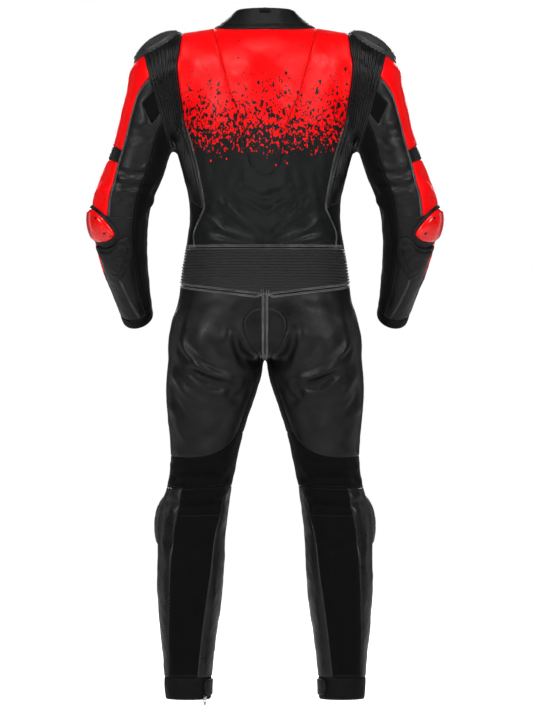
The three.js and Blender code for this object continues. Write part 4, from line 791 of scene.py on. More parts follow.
# Shader groups: each takes sizes and gives masks, values, colours or normals.
def groupOf(name, inputs, outputs):
    tree = bpy.data.node_groups.new(name, "ShaderNodeTree")
    kinds = {"f": "NodeSocketFloat", "v": "NodeSocketVector", "c": "NodeSocketColor"}
    for label, kind, value in inputs:
        socket = tree.interface.new_socket(label, in_out="INPUT", socket_type=kinds[kind])
        if value is not None:
            socket.default_value = value
    for label, kind in outputs:
        tree.interface.new_socket(label, in_out="OUTPUT", socket_type=kinds[kind])
    return tree, tree.nodes.new("NodeGroupInput"), tree.nodes.new("NodeGroupOutput")


def put(tree, kind, wires=(), **settings):
    node = tree.nodes.new(kind)
    for key, value in settings.items():
        setattr(node, key, value)
    for socket, value in dict(wires).items():
        target = node.inputs[socket]
        if hasattr(value, "links"):
            tree.links.new(value, target)
        else:
            target.default_value = value
    return node


def sumOf(tree, a, b, operation="ADD"):
    return put(tree, "ShaderNodeMath", {0: a, 1: b}, operation=operation).outputs[0]


def rangeOf(tree, value, low, high, toLow=0.0, toHigh=1.0, smoothly=True):
    node = put(tree, "ShaderNodeMapRange", {0: value, 1: low, 2: high, 3: toLow, 4: toHigh})
    node.interpolation_type = "SMOOTHSTEP" if smoothly else "LINEAR"
    return node.outputs[0]


# Hide grain: fine pebbles, long soft wrinkles and uneven shine, in object metres.
def makeGrainGroup():
    tree, given, out = groupOf("hideGrain", (("Vector", "v", None), ("Grain Size", "f", 900.0), ("Grain Height", "f", 0.12),
                                             ("Wrinkle Height", "f", 0.5), ("Seam", "f", 20.0)),
                               (("Height", "f"), ("Shine", "f"), ("Tone", "f"), ("Worn", "f")))
    at = given.outputs["Vector"]
    cells = put(tree, "ShaderNodeTexVoronoi", {"Vector": at, "Scale": given.outputs["Grain Size"], "Randomness": 1.0},
                feature="DISTANCE_TO_EDGE")
    pebble = rangeOf(tree, cells.outputs["Distance"], 0.0, 0.25)
    squeezed = put(tree, "ShaderNodeMapping", {"Vector": at, "Scale": (1.0, 1.0, 2.2)})
    wrinkle = put(tree, "ShaderNodeTexNoise", {"Vector": squeezed.outputs[0], "Scale": 70.0, "Detail": 6.0,
                                               "Roughness": 0.58, "Distortion": 0.6})
    broad = put(tree, "ShaderNodeTexNoise", {"Vector": at, "Scale": 16.0, "Detail": 4.0, "Roughness": 0.6})
    fine = put(tree, "ShaderNodeTexNoise", {"Vector": at, "Scale": 260.0, "Detail": 3.0})
    height = sumOf(tree, sumOf(tree, pebble, given.outputs["Grain Height"], "MULTIPLY"),
                   sumOf(tree, wrinkle.outputs[0], given.outputs["Wrinkle Height"], "MULTIPLY"))
    shine = sumOf(tree, rangeOf(tree, broad.outputs[0], 0.35, 0.65, -0.07, 0.07),
                  rangeOf(tree, fine.outputs[0], 0.3, 0.7, -0.05, 0.05))
    nearSeam = rangeOf(tree, given.outputs["Seam"], 0.0, 7.0, 1.0, 0.0)
    worn = sumOf(tree, nearSeam, rangeOf(tree, wrinkle.outputs[0], 0.42, 0.62), "MULTIPLY")
    tone = rangeOf(tree, broad.outputs[0], 0.3, 0.7)
    for label, socket in (("Height", height), ("Shine", shine), ("Tone", tone), ("Worn", worn)):
        tree.links.new(socket, out.inputs[label])
    return tree


# A fade of drops and specks from one colour to another, thickening downwards, with no set picture.
def makeSpeckGroup():
    tree, given, out = groupOf("speckledFade", (("Vector", "v", None), ("First Height", "f", -0.1), ("Last Height", "f", -0.33),
                                                ("Even Height", "f", -0.21), ("Drop Size", "f", 1.0)), (("Mask", "f"),))
    at = given.outputs["Vector"]
    z = put(tree, "ShaderNodeSeparateXYZ", {0: at}).outputs["Z"]
    level = rangeOf(tree, z, given.outputs["First Height"], given.outputs["Even Height"], 0.0, 0.5, False)
    lower = rangeOf(tree, z, given.outputs["Even Height"], given.outputs["Last Height"], 0.0, 0.5, False)
    dark = sumOf(tree, level, lower)
    def dropsOf(scale, stretch, shift, presence, least, most):
        placed = put(tree, "ShaderNodeMapping", {"Vector": at, "Scale": (1.0, 0.3, stretch), "Location": shift})
        bend = put(tree, "ShaderNodeTexNoise", {"Vector": placed.outputs[0], "Scale": scale * 1.1, "Detail": 2.0})
        moved = put(tree, "ShaderNodeVectorMath", {0: bend.outputs[1], 1: (0.45 / scale,) * 3}, operation="MULTIPLY_ADD")
        tree.links.new(placed.outputs[0], moved.inputs[2])
        cells = put(tree, "ShaderNodeTexVoronoi", {"Vector": moved.outputs[0], "Scale": scale})
        own = put(tree, "ShaderNodeSeparateColor", {0: cells.outputs["Color"]})
        there = sumOf(tree, own.outputs[0], presence, "LESS_THAN")
        size = rangeOf(tree, own.outputs[1], 0.0, 1.0, least, most, False)
        hit = rangeOf(tree, sumOf(tree, size, cells.outputs["Distance"], "SUBTRACT"), -0.03, 0.03)
        return sumOf(tree, there, hit, "MULTIPLY")

    more = sumOf(tree, sumOf(tree, dark, 0.45, "MULTIPLY"), sumOf(tree, dark, dark, "MULTIPLY"))
    large = dropsOf(120.0, 0.6, (0.31, 0.1, 0.07), more, 0.16, 0.48)
    small = dropsOf(250.0, 0.75, (0.11, 0.4, 0.23), sumOf(tree, more, 1.3, "MULTIPLY"), 0.15, 0.5)
    blots = put(tree, "ShaderNodeTexNoise", {"Vector": put(tree, "ShaderNodeMapping", {
        "Vector": at, "Scale": (1.0, 0.3, 0.7)}).outputs[0], "Scale": 150.0, "Detail": 4.0, "Roughness": 0.6, "Distortion": 0.3})
    clotted = rangeOf(tree, sumOf(tree, blots.outputs[0], sumOf(tree, sumOf(tree, dark, 0.373, "MULTIPLY"), rangeOf(
        tree, dark, 0.75, 1.0, 0.0, 0.3))), 0.683, 0.697)
    mask = sumOf(tree, sumOf(tree, large, small, "MAXIMUM"), clotted, "MAXIMUM")
    late = rangeOf(tree, dark, 0.45, 1.0, 0.36, 0.0)
    islands = dropsOf(210.0, 0.7, (0.57, 0.2, 0.41), late, 0.12, 0.42)
    mask = sumOf(tree, mask, sumOf(tree, 1.0, islands, "SUBTRACT"), "MULTIPLY")
    tree.links.new(mask, out.inputs["Mask"])
    return tree


# A knitted face: small loops in rows, with a soft height.
def makeKnitGroup():
    tree, given, out = groupOf("stretchKnit", (("Vector", "v", None), ("Loops", "f", 4200.0)), (("Height", "f"), ("Tone", "f")))
    at = given.outputs["Vector"]
    split = put(tree, "ShaderNodeSeparateXYZ", {0: at})
    across = sumOf(tree, split.outputs[0], split.outputs[1])
    wales = put(tree, "ShaderNodeMath", {0: sumOf(tree, across, given.outputs["Loops"], "MULTIPLY")}, operation="SINE").outputs[0]
    rows = put(tree, "ShaderNodeMath", {0: sumOf(tree, split.outputs[2], given.outputs["Loops"], "MULTIPLY")}, operation="SINE").outputs[0]
    broad = put(tree, "ShaderNodeTexNoise", {"Vector": at, "Scale": 40.0, "Detail": 5.0})
    tree.links.new(sumOf(tree, wales, rows, "MULTIPLY"), out.inputs["Height"])
    tree.links.new(rangeOf(tree, broad.outputs[0], 0.3, 0.7), out.inputs["Tone"])
    return tree


hideGrain, speckledFade, stretchKnit = makeGrainGroup(), makeSpeckGroup(), makeKnitGroup()


def newMaterial(name):
    material = bpy.data.materials.new(name)
    material.use_nodes = True
    tree = material.node_tree
    shader = tree.nodes["Principled BSDF"]
    at = tree.nodes.new("ShaderNodeTexCoord").outputs["Object"]
    return material, tree, shader, at


def useGroup(tree, group, at, **values):
    node = put(tree, "ShaderNodeGroup")
    node.node_tree = group
    tree.links.new(at, node.inputs["Vector"])
    for label, value in values.items():
        socket = node.inputs[label.replace("_", " ")]
        if hasattr(value, "links"):
            tree.links.new(value, socket)
        else:
            socket.default_value = value
    return node


def mixColour(tree, mask, a, b):
    node = put(tree, "ShaderNodeMix", data_type="RGBA")
    for socket, value in ((node.inputs[0], mask), (node.inputs[6], a), (node.inputs[7], b)):
        if hasattr(value, "links"):
            tree.links.new(value, socket)
        elif hasattr(value, "__len__"):
            socket.default_value = (*value, 1) if len(value) == 3 else value
        else:
            socket.default_value = value
    return node.outputs[2]


def bumpOf(tree, shader, height, strength, distance):
    bump = put(tree, "ShaderNodeBump", {"Height": height, "Strength": strength, "Distance": distance})
    tree.links.new(bump.outputs[0], shader.inputs["Normal"])


def leather(name, dark, light, edge, roughness, grain=900.0, wrinkle=0.5, bump=0.35, fade=None, specular=0.4):
    material, tree, shader, at = newMaterial(name)
    seam = put(tree, "ShaderNodeAttribute", attribute_name="seam").outputs["Fac"]
    skin = useGroup(tree, hideGrain, at, Grain_Size=grain, Wrinkle_Height=wrinkle, Seam=seam)
    rubbed = sumOf(tree, skin.outputs["Worn"], 0.5, "MULTIPLY")
    colour = mixColour(tree, rubbed, mixColour(tree, skin.outputs["Tone"], dark, light), edge)
    if fade:
        specks = useGroup(tree, speckledFade, at, First_Height=fade["first"], Last_Height=fade["last"], Even_Height=fade["even"])
        below = mixColour(tree, skin.outputs["Tone"], fade["dark"], fade["light"])
        below = mixColour(tree, rubbed, below, fade["edge"])
        colour = mixColour(tree, specks.outputs["Mask"], colour, below)
    tree.links.new(colour, shader.inputs["Base Color"])
    shade = sumOf(tree, skin.outputs["Shine"], roughness)
    tree.links.new(shade, shader.inputs["Roughness"])
    shader.inputs["Specular IOR Level"].default_value = specular
    bumpOf(tree, shader, skin.outputs["Height"], bump, 0.0006)
    return material


def knit(name, dark, light, loops=4200.0, sheen=0.03, roughness=0.78, specular=0.07, bump=0.3):
    material, tree, shader, at = newMaterial(name)
    face = useGroup(tree, stretchKnit, at, Loops=loops)
    tree.links.new(mixColour(tree, face.outputs["Tone"], dark, light), shader.inputs["Base Color"])
    tree.links.new(rangeOf(tree, face.outputs["Tone"], 0, 1, roughness, roughness + 0.1),
                   shader.inputs["Roughness"])
    shader.inputs["Specular IOR Level"].default_value = specular
    shader.inputs["Sheen Weight"].default_value = sheen
    shader.inputs["Sheen Roughness"].default_value = 0.5
    bumpOf(tree, shader, face.outputs["Height"], bump, 0.0003)
    return material


def moulded(name, dark, light, roughness, speck=600.0, coat=0.0, bump=0.15, metallic=0.0):
    material, tree, shader, at = newMaterial(name)
    broad = put(tree, "ShaderNodeTexNoise", {"Vector": at, "Scale": 30.0, "Detail": 4.0})
    fine = put(tree, "ShaderNodeTexNoise", {"Vector": at, "Scale": speck, "Detail": 2.0})
    tree.links.new(mixColour(tree, rangeOf(tree, broad.outputs[0], 0.35, 0.65), dark, light), shader.inputs["Base Color"])
    tree.links.new(rangeOf(tree, broad.outputs[0], 0.3, 0.7, roughness * 0.85, roughness * 1.15), shader.inputs["Roughness"])
    shader.inputs["Metallic"].default_value = metallic
    shader.inputs["Specular IOR Level"].default_value = 0.25
    shader.inputs["Coat Weight"].default_value = coat
    shader.inputs["Coat Roughness"].default_value = 0.08
    bumpOf(tree, shader, fine.outputs[0], bump, 0.0003)
    return material


speckFade = {"first": -0.078, "even": -0.212, "last": -0.318, "dark": (0.0055, 0.0060, 0.0063),
             "light": (0.0090, 0.0095, 0.0100), "edge": (0.018, 0.019, 0.020)}
finishes = {
    "blackHide": leather("blackHide", (0.0045, 0.0045, 0.0048), (0.0080, 0.0080, 0.0083), (0.020, 0.020, 0.021), 0.40,
                         specular=0.18),
    "shinyHide": leather("shinyHide", (0.0060, 0.0060, 0.0063), (0.0100, 0.0100, 0.0104), (0.024, 0.024, 0.025), 0.36,
                         specular=0.22),
    "padHide": leather("padHide", (0.0040, 0.0040, 0.0042), (0.0065, 0.0065, 0.0068), (0.018, 0.018, 0.019), 0.46,
                       wrinkle=0.2, specular=0.15),
    "hemHide": leather("hemHide", (0.0022, 0.0022, 0.0023), (0.0036, 0.0036, 0.0037), (0.008, 0.008, 0.008), 0.6,
                       wrinkle=0.2, specular=0.1),
    "redHide": leather("redHide", (0.80, 0.0012, 0.0022), (0.90, 0.0022, 0.0036), (0.92, 0.010, 0.012), 0.42,
                       wrinkle=0.4, bump=0.3, specular=0.09),
    "fadedHide": leather("fadedHide", (0.80, 0.0012, 0.0022), (0.92, 0.0022, 0.0036), (0.6, 0.003, 0.005), 0.38,
                         wrinkle=0.4, bump=0.35, fade=speckFade, specular=0.12),
    "armFade": leather("armFade", (0.78, 0.0012, 0.0022), (0.88, 0.0022, 0.0036), (0.3, 0.02, 0.02), 0.44,
                       fade={**speckFade, "first": -0.462, "even": -0.515, "last": -0.56}, specular=0.16),
    "stretch": knit("stretch", (0.0010, 0.0010, 0.0010), (0.0024, 0.0024, 0.0025)),
    "pleats": leather("pleats", (0.0030, 0.0030, 0.0032), (0.0055, 0.0055, 0.0058), (0.012, 0.012, 0.0125), 0.36,
                      wrinkle=0.0, bump=0.08, specular=0.34),
    "ribbed": knit("ribbed", (0.0016, 0.0016, 0.0017), (0.0034, 0.0034, 0.0036), 4200.0, 0.12, 0.5, 0.32, 0.04),
    "tape": knit("tape", (0.004, 0.004, 0.004), (0.006, 0.006, 0.006), loops=5200.0),
    "blackArmour": moulded("blackArmour", (0.026, 0.026, 0.027), (0.036, 0.036, 0.037), 0.46),
    "rubber": moulded("rubber", (0.0030, 0.0030, 0.0031), (0.0045, 0.0045, 0.0046), 0.5),
    "redArmour": moulded("redArmour", (0.72, 0.0012, 0.0016), (0.80, 0.0020, 0.0026), 0.26, coat=0.5, bump=0.04),
    "silver": moulded("silver", (0.55, 0.55, 0.56), (0.7, 0.7, 0.71), 0.3, metallic=1.0, bump=0.05),
    "screw": moulded("screw", (0.012, 0.012, 0.012), (0.02, 0.02, 0.02), 0.4, metallic=0.6),
    "greyThread": moulded("greyThread", (0.11, 0.11, 0.113), (0.19, 0.19, 0.194), 0.7),
    "darkThread": moulded("darkThread", (0.012, 0.012, 0.0125), (0.020, 0.020, 0.021), 0.7),
    "redThread": moulded("redThread", (0.36, 0.003, 0.004), (0.46, 0.004, 0.006), 0.7),
}
print("finishes ready:", len(finishes))

# name, parts (block, label), finish, slot, how it is held
panels = (
    ("back_hump", "middle", (("back", "hump"),), "fadedHide", "red_leather", "hung"),
    ("back_panel", "middle", (("back", "backPanel"),), "fadedHide", "red_leather", "hung"),
    ("accordion", "pair", (("back", "accordion"),), "pleats", "black_leather", "stretched"),
    ("side", "pair", (("back", "side"),), "stretch", "stretch_cloth", "stretched"),
    ("front", "pair", (("front", "front"),), "blackHide", "black_leather", "hung"),
    ("front_zip", "middle", (("zip", "zip"),), "tape", "zip_tape", "hung"),
    ("collar", "middle", (("collar", "collar"),), "padHide", "black_leather", "hung"),
    ("waistband", "middle", (("waist", "waist"),), "ribbed", "black_leather", "stretched"),
    ("seat", "pair", (("leg", "seat"),), "blackHide", "black_leather", "hung"),
    ("thigh_front", "pair", (("leg", "thigh"),), "blackHide", "black_leather", "hung"),
    ("crotch_gusset", "middle", (("leg", "gusset"),), "stretch", "stretch_cloth", "stretched"),
    ("knee_back", "pair", (("leg", "knee"),), "stretch", "stretch_cloth", "stretched"),
    ("calf_back", "pair", (("leg", "calf"),), "stretch", "stretch_cloth", "stretched"),
    ("shin", "pair", (("leg", "shin"),), "shinyHide", "black_leather", "hung"),
    ("hem_band", "pair", (("leg", "hem"),), "hemHide", "black_leather", "hung"),
    ("sleeve_stripe", "pair", (("sleeve", "stripe"),), "redHide", "red_leather", "hung"),
    ("sleeve_stripe_lower", "pair", (("sleeve", "lowerStripe"),), "redHide", "red_leather", "hung"),
    ("sleeve_back", "pair", (("sleeve", "sleeveBack"),), "blackHide", "black_leather", "hung"),
    ("sleeve_patch", "pair", (("sleeve", "patch"),), "stretch", "stretch_cloth", "stretched"),
    ("sleeve_inner", "pair", (("sleeve", "inner"),), "stretch", "stretch_cloth", "stretched"),
    ("forearm_stripe", "pair", (("sleeve", "forearmStripe"),), "armFade", "red_leather", "hung"),
    ("forearm_back", "pair", (("sleeve", "forearmBack"),), "blackHide", "black_leather", "hung"),
    ("cuff", "pair", (("sleeve", "cuff"),), "hemHide", "black_leather", "hung"),
)
for name, kind, parts, finish, slot, held in panels:
    if kind == "middle":
        both = [(blocks[b], label, side) for b, label in parts for side in (1, -1)]
        addPanel(name, both, finishes[finish])
        continue
    for side, letter in ((1, "L"), (-1, "R")):
        own = [(blocks[b], label, side) for b, label in parts]
        addPanel(f"{name}_{letter}", own, finishes[finish])
print("panels made:", len(flatSizes))


# A closed curve through points.
def roundCurve(points, count):
    wrapped = np.concatenate([points[-2:], points, points[:3]])[:, None]
    at = 2 + np.arange(count) / count * len(points)
    return curveThrough(wrapped[:, 0], at)


def curveThrough(points, at):
    i = np.clip(np.floor(at).astype(int), 1, len(points) - 3)
    t = (at - i)[:, None]
    a, b, c, d = (points[i + k] for k in (-1, 0, 1, 2))
    return 0.5 * (2 * b + (c - a) * t + (2 * a - 5 * b + 4 * c - d) * t**2 + (3 * b - a - 3 * c + d) * t**3)


# A pad or hard cup on the suit: rings of an outline, at heights given against the share from its centre.
def addPad(name, centre, outline, heights, material, side, base=-0.6, around=72, more=None, rings=26):
    curve = roundCurve(np.asarray(outline), around)
    shares = (np.linspace(1, 0, rings) ** 0.8)[:-1, None] + 0 * np.arange(around)
    profile = np.array(heights, float)
    at = settle(mix(centre, curve, shares[..., None]), rounds=6)
    rise = np.interp(shares, profile[:, 0], profile[:, 1]) + (more(shares, at) if more else 0)
    points = at + outward(at) * rise[..., None]
    top = settle(centre[None], rounds=6)
    crown = top + outward(top) * (profile[0, 1] + (more(np.zeros(1), top) if more else 0))
    under = at[0] + outward(at[0]) * base
    bottom = top + outward(top) * base
    verts = np.concatenate([under, *points, crown, bottom])
    k = np.arange(around)
    n = (k + 1) % around
    faces = []
    for ring in range(len(points)):
        low, high = ring * around, (ring + 1) * around
        faces += np.stack([low + k, low + n, high + n, high + k], 1).tolist()
    last = len(points) * around
    tip = last + around
    faces += [[last + a, last + b, tip] for a, b in zip(k, n)]
    faces += [[b, a, tip + 1] for a, b in zip(k, n)]
    spin = np.cross(curve - centre, np.roll(curve, -1, 0) - centre).sum(0) @ outward(top)[0]
    if (spin > 0) != (side > 0):
        faces = [face[::-1] for face in faces]
    piece = solidPiece(f"{name}_shell", verts * np.array((side, 1, 1)), faces)
    piece.data.materials.append(material)
    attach(piece, "suit")
    return piece


def solidPiece(name, points, faces):
    mesh = bpy.data.meshes.new(name)
    mesh.from_pydata((points / 1000).tolist(), [], faces)
    mesh.shade_smooth()
    piece = bpy.data.objects.new(name, mesh)
    bpy.context.scene.collection.objects.link(piece)
    return piece


shoulderCup = {"centre": (226, -4, -44), "along": 54, "toArm": 66, "over": 40, "toBack": 64,
               "heights": ((0, 14), (0.3, 13.6), (0.55, 12), (0.74, 9.6), (0.76, 8.6), (0.8, 8.6), (0.82, 9.0), (0.87, 7.6),
                           (0.885, 4.6), (0.96, 4.2), (1, 2.6))}
elbowOutline = ((5.95, 28), (6.08, 50), (6.42, 68), (6.85, 80), (7.15, 66), (7.3, 42), (7.3, 14), (6.95, -8), (6.4, -10), (6.02, 6))
elbowBase = {"reach": 1.2,
             "heights": ((0, 3.6), (0.84, 3.6), (0.87, 5.0), (0.91, 5.1), (0.925, 3.0), (0.945, 3.0), (0.965, 3.9), (1, 2.2))}
elbowCup = {"heights": ((0, 16.6), (0.3, 16.0), (0.52, 14.8), (0.72, 13.0), (0.8, 12.2), (0.84, 11.6), (0.93, 8.6), (0.98, 7.2), (1, 5.2))}
forearmPad = {"outline": ((7.12, 88), (7.06, 104), (7.35, 117), (8, 106), (8.75, 82), (8.85, 58), (8.2, 33), (7.62, 16),
                          (7.56, 42), (7.42, 68)),
              "heights": ((0, 8.8), (0.4, 8.8), (0.6, 8.4), (0.65, 7.6), (0.68, 5.6), (0.72, 5.2), (0.76, 5.8), (0.9, 5.4),
                          (0.96, 4.4), (1, 2.2))}
kneeCup = {"z": -1056, "angle": -40, "tall": 60, "wide": 46,
           "heights": ((0, 13), (0.4, 12.4), (0.62, 11), (0.66, 9.8), (0.7, 9.8), (0.74, 9.4), (0.9, 6.6), (0.93, 4.4), (1, 2.6))}
hardPieces = {}
for side, letter in ((1, "L"), (-1, "R")):
    ridge = np.array(shoulderCup["centre"], float)
    turn = np.radians(np.arange(0, 360, 22.5))
    along = np.where(np.cos(turn) > 0, shoulderCup["toArm"], shoulderCup["along"]) * np.cos(turn)
    over = np.where(np.sin(turn) > 0, shoulderCup["toBack"], shoulderCup["over"]) * np.sin(turn)
    rim = settle(ridge + spot(along * 0.88, over, -along * 0.47))
    keel = lambda share, at: 1.6 * np.exp(-(((at[..., 1] - 26) / 2.4) ** 2)) * (share < 0.84)
    cup = addPad(f"shoulder_cup_{letter}", settle(ridge[None])[0], rim, shoulderCup["heights"], finishes["blackArmour"],
                 side, more=keel)
    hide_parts(f"shoulder_cup_{letter}")
    hardPieces[f"shoulder{side}"] = cup

    elbow = sleevePoint(np.array([6.65]), np.array([38.0]))[0]
    rim = sleevePoint(*np.array(elbowOutline, float).T)
    wider = settle(mix(elbow, rim, elbowBase["reach"]))
    plate = addPad(f"elbow_base_{letter}", elbow, wider, elbowBase["heights"], finishes["rubber"], side)
    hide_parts(f"elbow_base_{letter}")
    cup = addPad(f"elbow_cup_{letter}", elbow, rim, elbowCup["heights"], finishes["redArmour"], side, base=3.4)
    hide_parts(f"elbow_cup_{letter}")
    hardPieces[f"elbow{side}"] = cup

    centre = sleevePoint(np.array([7.9]), np.array([70.0]))[0]
    rim = sleevePoint(*np.array(forearmPad["outline"], float).T)
    pad = addPad(f"forearm_pad_{letter}", centre, rim, forearmPad["heights"], finishes["padHide"], side)
    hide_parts(f"forearm_pad_{letter}")
    hardPieces[f"forearm{side}"] = pad

    turn = np.radians(np.arange(0, 360, 24))
    rim = legPoint(kneeCup["z"] + kneeCup["tall"] * np.cos(turn), kneeCup["angle"] + kneeCup["wide"] * np.sin(turn))
    bars = lambda share, at: -1.4 * np.exp(-(((at[..., 2] + 1056) % 22 - 11) / 1.3) ** 2) * (share < 0.86)
    cup = addPad(f"knee_armour_{letter}", legPoint(np.array([kneeCup["z"]]), np.array([kneeCup["angle"]]))[0], rim,
                 kneeCup["heights"], finishes["blackArmour"], side, more=bars)
    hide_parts(f"knee_armour_{letter}")
print("hard pieces made:", len(hardPieces))


# A round cord along a closed path.
def addCord(name, path, facing, radius, material, around=8):
    along = np.roll(path, -1, 0) - np.roll(path, 1, 0)
    across = np.cross(along, facing)
    across /= np.linalg.norm(across, axis=1, keepdims=True)
    turn = np.linspace(0, 2 * math.pi, around, endpoint=False)[None, :, None]
    points = path[:, None] + radius * (across[:, None] * np.cos(turn) + facing[:, None] * np.sin(turn))
    i, k = (g.ravel() for g in np.mgrid[0:len(path), 0:around])
    j, n = (i + 1) % len(path), (k + 1) % around
    faces = np.stack([i * around + k, i * around + n, j * around + n, j * around + k], 1)
    flat = points.reshape(-1, 3)
    corners = flat[faces[0]]
    if np.cross(corners[1] - corners[0], corners[2] - corners[0]) @ (corners.mean(0) - path[0]) < 0:
        faces = faces[:, ::-1]
    piece = solidPiece(name, flat, faces.tolist())
    piece.data.materials.append(material)
    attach(piece, "suit")
    return piece


armholeCord = {"radius": 1.9, "lift": 0.2}
for side, letter in ((1, "L"), (-1, "R")):
    facing = sleeveBlock["normals"][0, :-1] * np.array((side, 1, 1))
    path = surface(sleeveBlock, side)[0, :-1] + facing * armholeCord["lift"]
    addCord(f"armhole_cord_{letter}", path, facing, armholeCord["radius"], finishes["blackHide"])


# A thin piece laid on the suit: rows of points, with a height above the cloth for each.
def addOverlay(name, grid, outs, thick, material, side=1, seamWidth=1.6, welt=0.0):
    points = settle(grid, rounds=6)
    rows, columns = points.shape[:2]
    edge = np.ones((rows, columns), bool)
    edge[1:-1, 1:-1] = False
    tree = kdtree.KDTree(int(edge.sum()))
    for k, p in enumerate(points[edge]):
        tree.insert(p, k)
    tree.balance()
    away = np.array([tree.find(p)[2] for p in points.reshape(-1, 3)]).reshape(rows, columns)
    out = np.broadcast_to(outs, (rows, columns)) - 0.7 * np.exp(-((away / seamWidth) ** 2))
    out = out + welt * np.exp(-(((away - 6) / 2.6) ** 2))
    shape = (points + outward(points) * out[..., None]) * np.array((side, 1, 1))
    i, j = np.mgrid[0:rows - 1, 0:columns - 1]
    a = (i * columns + j).ravel()
    faces = np.stack([a, a + columns, a + columns + 1, a + 1], 1)
    flat = shape.reshape(-1, 3)
    turn = np.cross(flat[faces[:, 2]] - flat[faces[:, 0]], flat[faces[:, 3]] - flat[faces[:, 1]])
    if (turn * outward(points).reshape(-1, 3)[faces[:, 0]] * np.array((side, 1, 1))).sum() < 0:
        faces = faces[:, ::-1]
    piece = meshFrom(f"{name}_cloth", flat, faces, away.ravel())
    piece.data.materials.append(material)
    piece.data.shade_smooth()
    wall = piece.modifiers.new("wall", "SOLIDIFY")
    wall.thickness = thick / 1000
    wall.offset = -1
    wide = np.linalg.norm(np.diff(shape, axis=1), axis=2).sum(1).max() / 1000
    long = np.linalg.norm(np.diff(shape, axis=0), axis=2).sum(0).max() / 1000
    area = panelArea(flat / 1000, faces)
    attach(piece, "suit")
    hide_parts(name)
    flatSizes[name] = (round(wide * 1000), round(long * 1000), round(area * 1e4))
    return piece, shape


seatPatch = {"z": (-602, -604.5, -610, -620, -634, -648, -662, -676, -690, -701, -708),
             "half": (10, 22, 33, 42, 47, 46, 41, 34, 25, 15, 8), "out": 3.2}
zAt = np.linspace(0, 10, 40)
z, half = np.interp(zAt, np.arange(11), seatPatch["z"]), np.interp(zAt, np.arange(11), seatPatch["half"])
patchGrid = behindAt(half[:, None] * np.linspace(-1, 1, 27)[None], z[:, None] + 0 * np.linspace(-1, 1, 27)[None])
patch, patchShape = addOverlay("seat_patch", patchGrid, seatPatch["out"], 1.6, finishes["padHide"], welt=1.1)

strap = {"top": -576, "bottom": -708, "half": 8.2, "onSeat": 2.0, "onPatch": 4.9}
z = np.linspace(strap["top"], strap["bottom"], 44)[:, None]
x = np.linspace(-1, 1, 13)[None] * strap["half"]
lift = mix(strap["onSeat"], strap["onPatch"], smooth((-592 - z) / 16)) - 0.9 * np.exp(-((x / 1.0) ** 2))
strapPiece, strapShape = addOverlay("seat_strap", behindAt(x + 0 * z, z + 0 * x), lift, 1.5, finishes["blackHide"])

hemTab = {"top": -1389, "bottom": -1423, "start": 130, "end": 176, "round": 9}
z = np.linspace(hemTab["top"], hemTab["bottom"], 14)[:, None]
bulge = np.abs((z - hemTab["top"]) / (hemTab["bottom"] - hemTab["top"]) * 2 - 1)
start = hemTab["start"] + hemTab["round"] * (1 - np.sqrt(np.maximum(1 - bulge**2.6, 0)))
tabAngles = mix(start, hemTab["end"], np.linspace(0, 1, 18)[None])
tabGrid = legPoint(z + 0 * tabAngles, tabAngles)
for side, letter in ((1, "L"), (-1, "R")):
    addOverlay(f"hem_tab_{letter}", tabGrid, 3.8, 1.6, finishes["padHide"], side)

# The hanging loop on the inside of the collar.
hangingLoop = {"half": 12, "low": 0.93, "high": 0.8, "bow": 1.6}
low, high = neckPoint(np.zeros(1))[0], np.array([0, 50.0, 38.0])
x = np.linspace(-1, 1, 25)
rows = []
for share in np.linspace(hangingLoop["low"], hangingLoop["high"], 5):
    middle = mix(low, high, share)
    rows.append(spot(x * hangingLoop["half"], middle[1] + 0.4 + hangingLoop["bow"] * np.cos(x * math.pi / 2), middle[2] + 0 * x))
loopPoints = np.stack(rows)
i, j = np.mgrid[0:4, 0:24]
a = (i * 25 + j).ravel()
loop = meshFrom("collar_loop_cloth", loopPoints.reshape(-1, 3), np.stack([a, a + 1, a + 26, a + 25], 1), np.full(125, 9.0))
loop.data.materials.append(finishes["tape"])
loop.data.shade_smooth()
wall = loop.modifiers.new("wall", "SOLIDIFY")
wall.thickness, wall.offset = 0.0011, -1
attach(loop, "suit")
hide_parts("collar_loop")
flatSizes["collar_loop"] = (25, 7, 2)

# Sliders and pulls keep their own shapes and get a metal finish.
for node in ("front_zip_slider", "front_zip_pull", "ankle_zip_slider", "ankle_zip_pull"):
    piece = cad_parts[node]
    if not piece.data.materials:
        piece.data.materials.append(finishes["silver"])
    for k in range(len(piece.data.materials)):
        piece.data.materials[k] = finishes["silver"]
print("fittings made")


# Where a row and column of a block lie on its finished outer face, and which way that faces.
def locate(block, side, rowAt, columnAt):
    shape = surface(block, side)
    i, j = np.interp(rowAt, block["rowsAt"], np.arange(len(block["rowsAt"]))), np.interp(
        columnAt, block["columnsAt"], np.arange(len(block["columnsAt"])))
    a, b = np.clip(i.astype(int), 0, shape.shape[0] - 2), np.clip(j.astype(int), 0, shape.shape[1] - 2)
    u, v = (i - a)[:, None], (j - b)[:, None]
    blend = lambda g: mix(mix(g[a, b], g[a + 1, b], u), mix(g[a, b + 1], g[a + 1, b + 1], u), v)
    facing = blend(block["normals"]) * np.array((side, 1, 1))
    return blend(shape), facing / np.linalg.norm(facing, axis=1, keepdims=True)


# A path on a block beside a seam line, at a distance from it in millimetres.
def seamPath(block, side, along, at, start, end, offset, count=260):
    t = np.linspace(start, end, count)
    given = (lambda b: locate(block, side, t, b)) if along == "rows" else (lambda b: locate(block, side, b, t))
    step = 0.2 if offset >= 0 else -0.2
    width = np.linalg.norm(given(at + step + 0 * t)[0] - given(at + 0 * t)[0], axis=1) / 0.2
    width = np.convolve(np.pad(width, 8, "edge"), np.ones(17) / 17, "valid")
    return given(at + offset / np.maximum(width, 4))


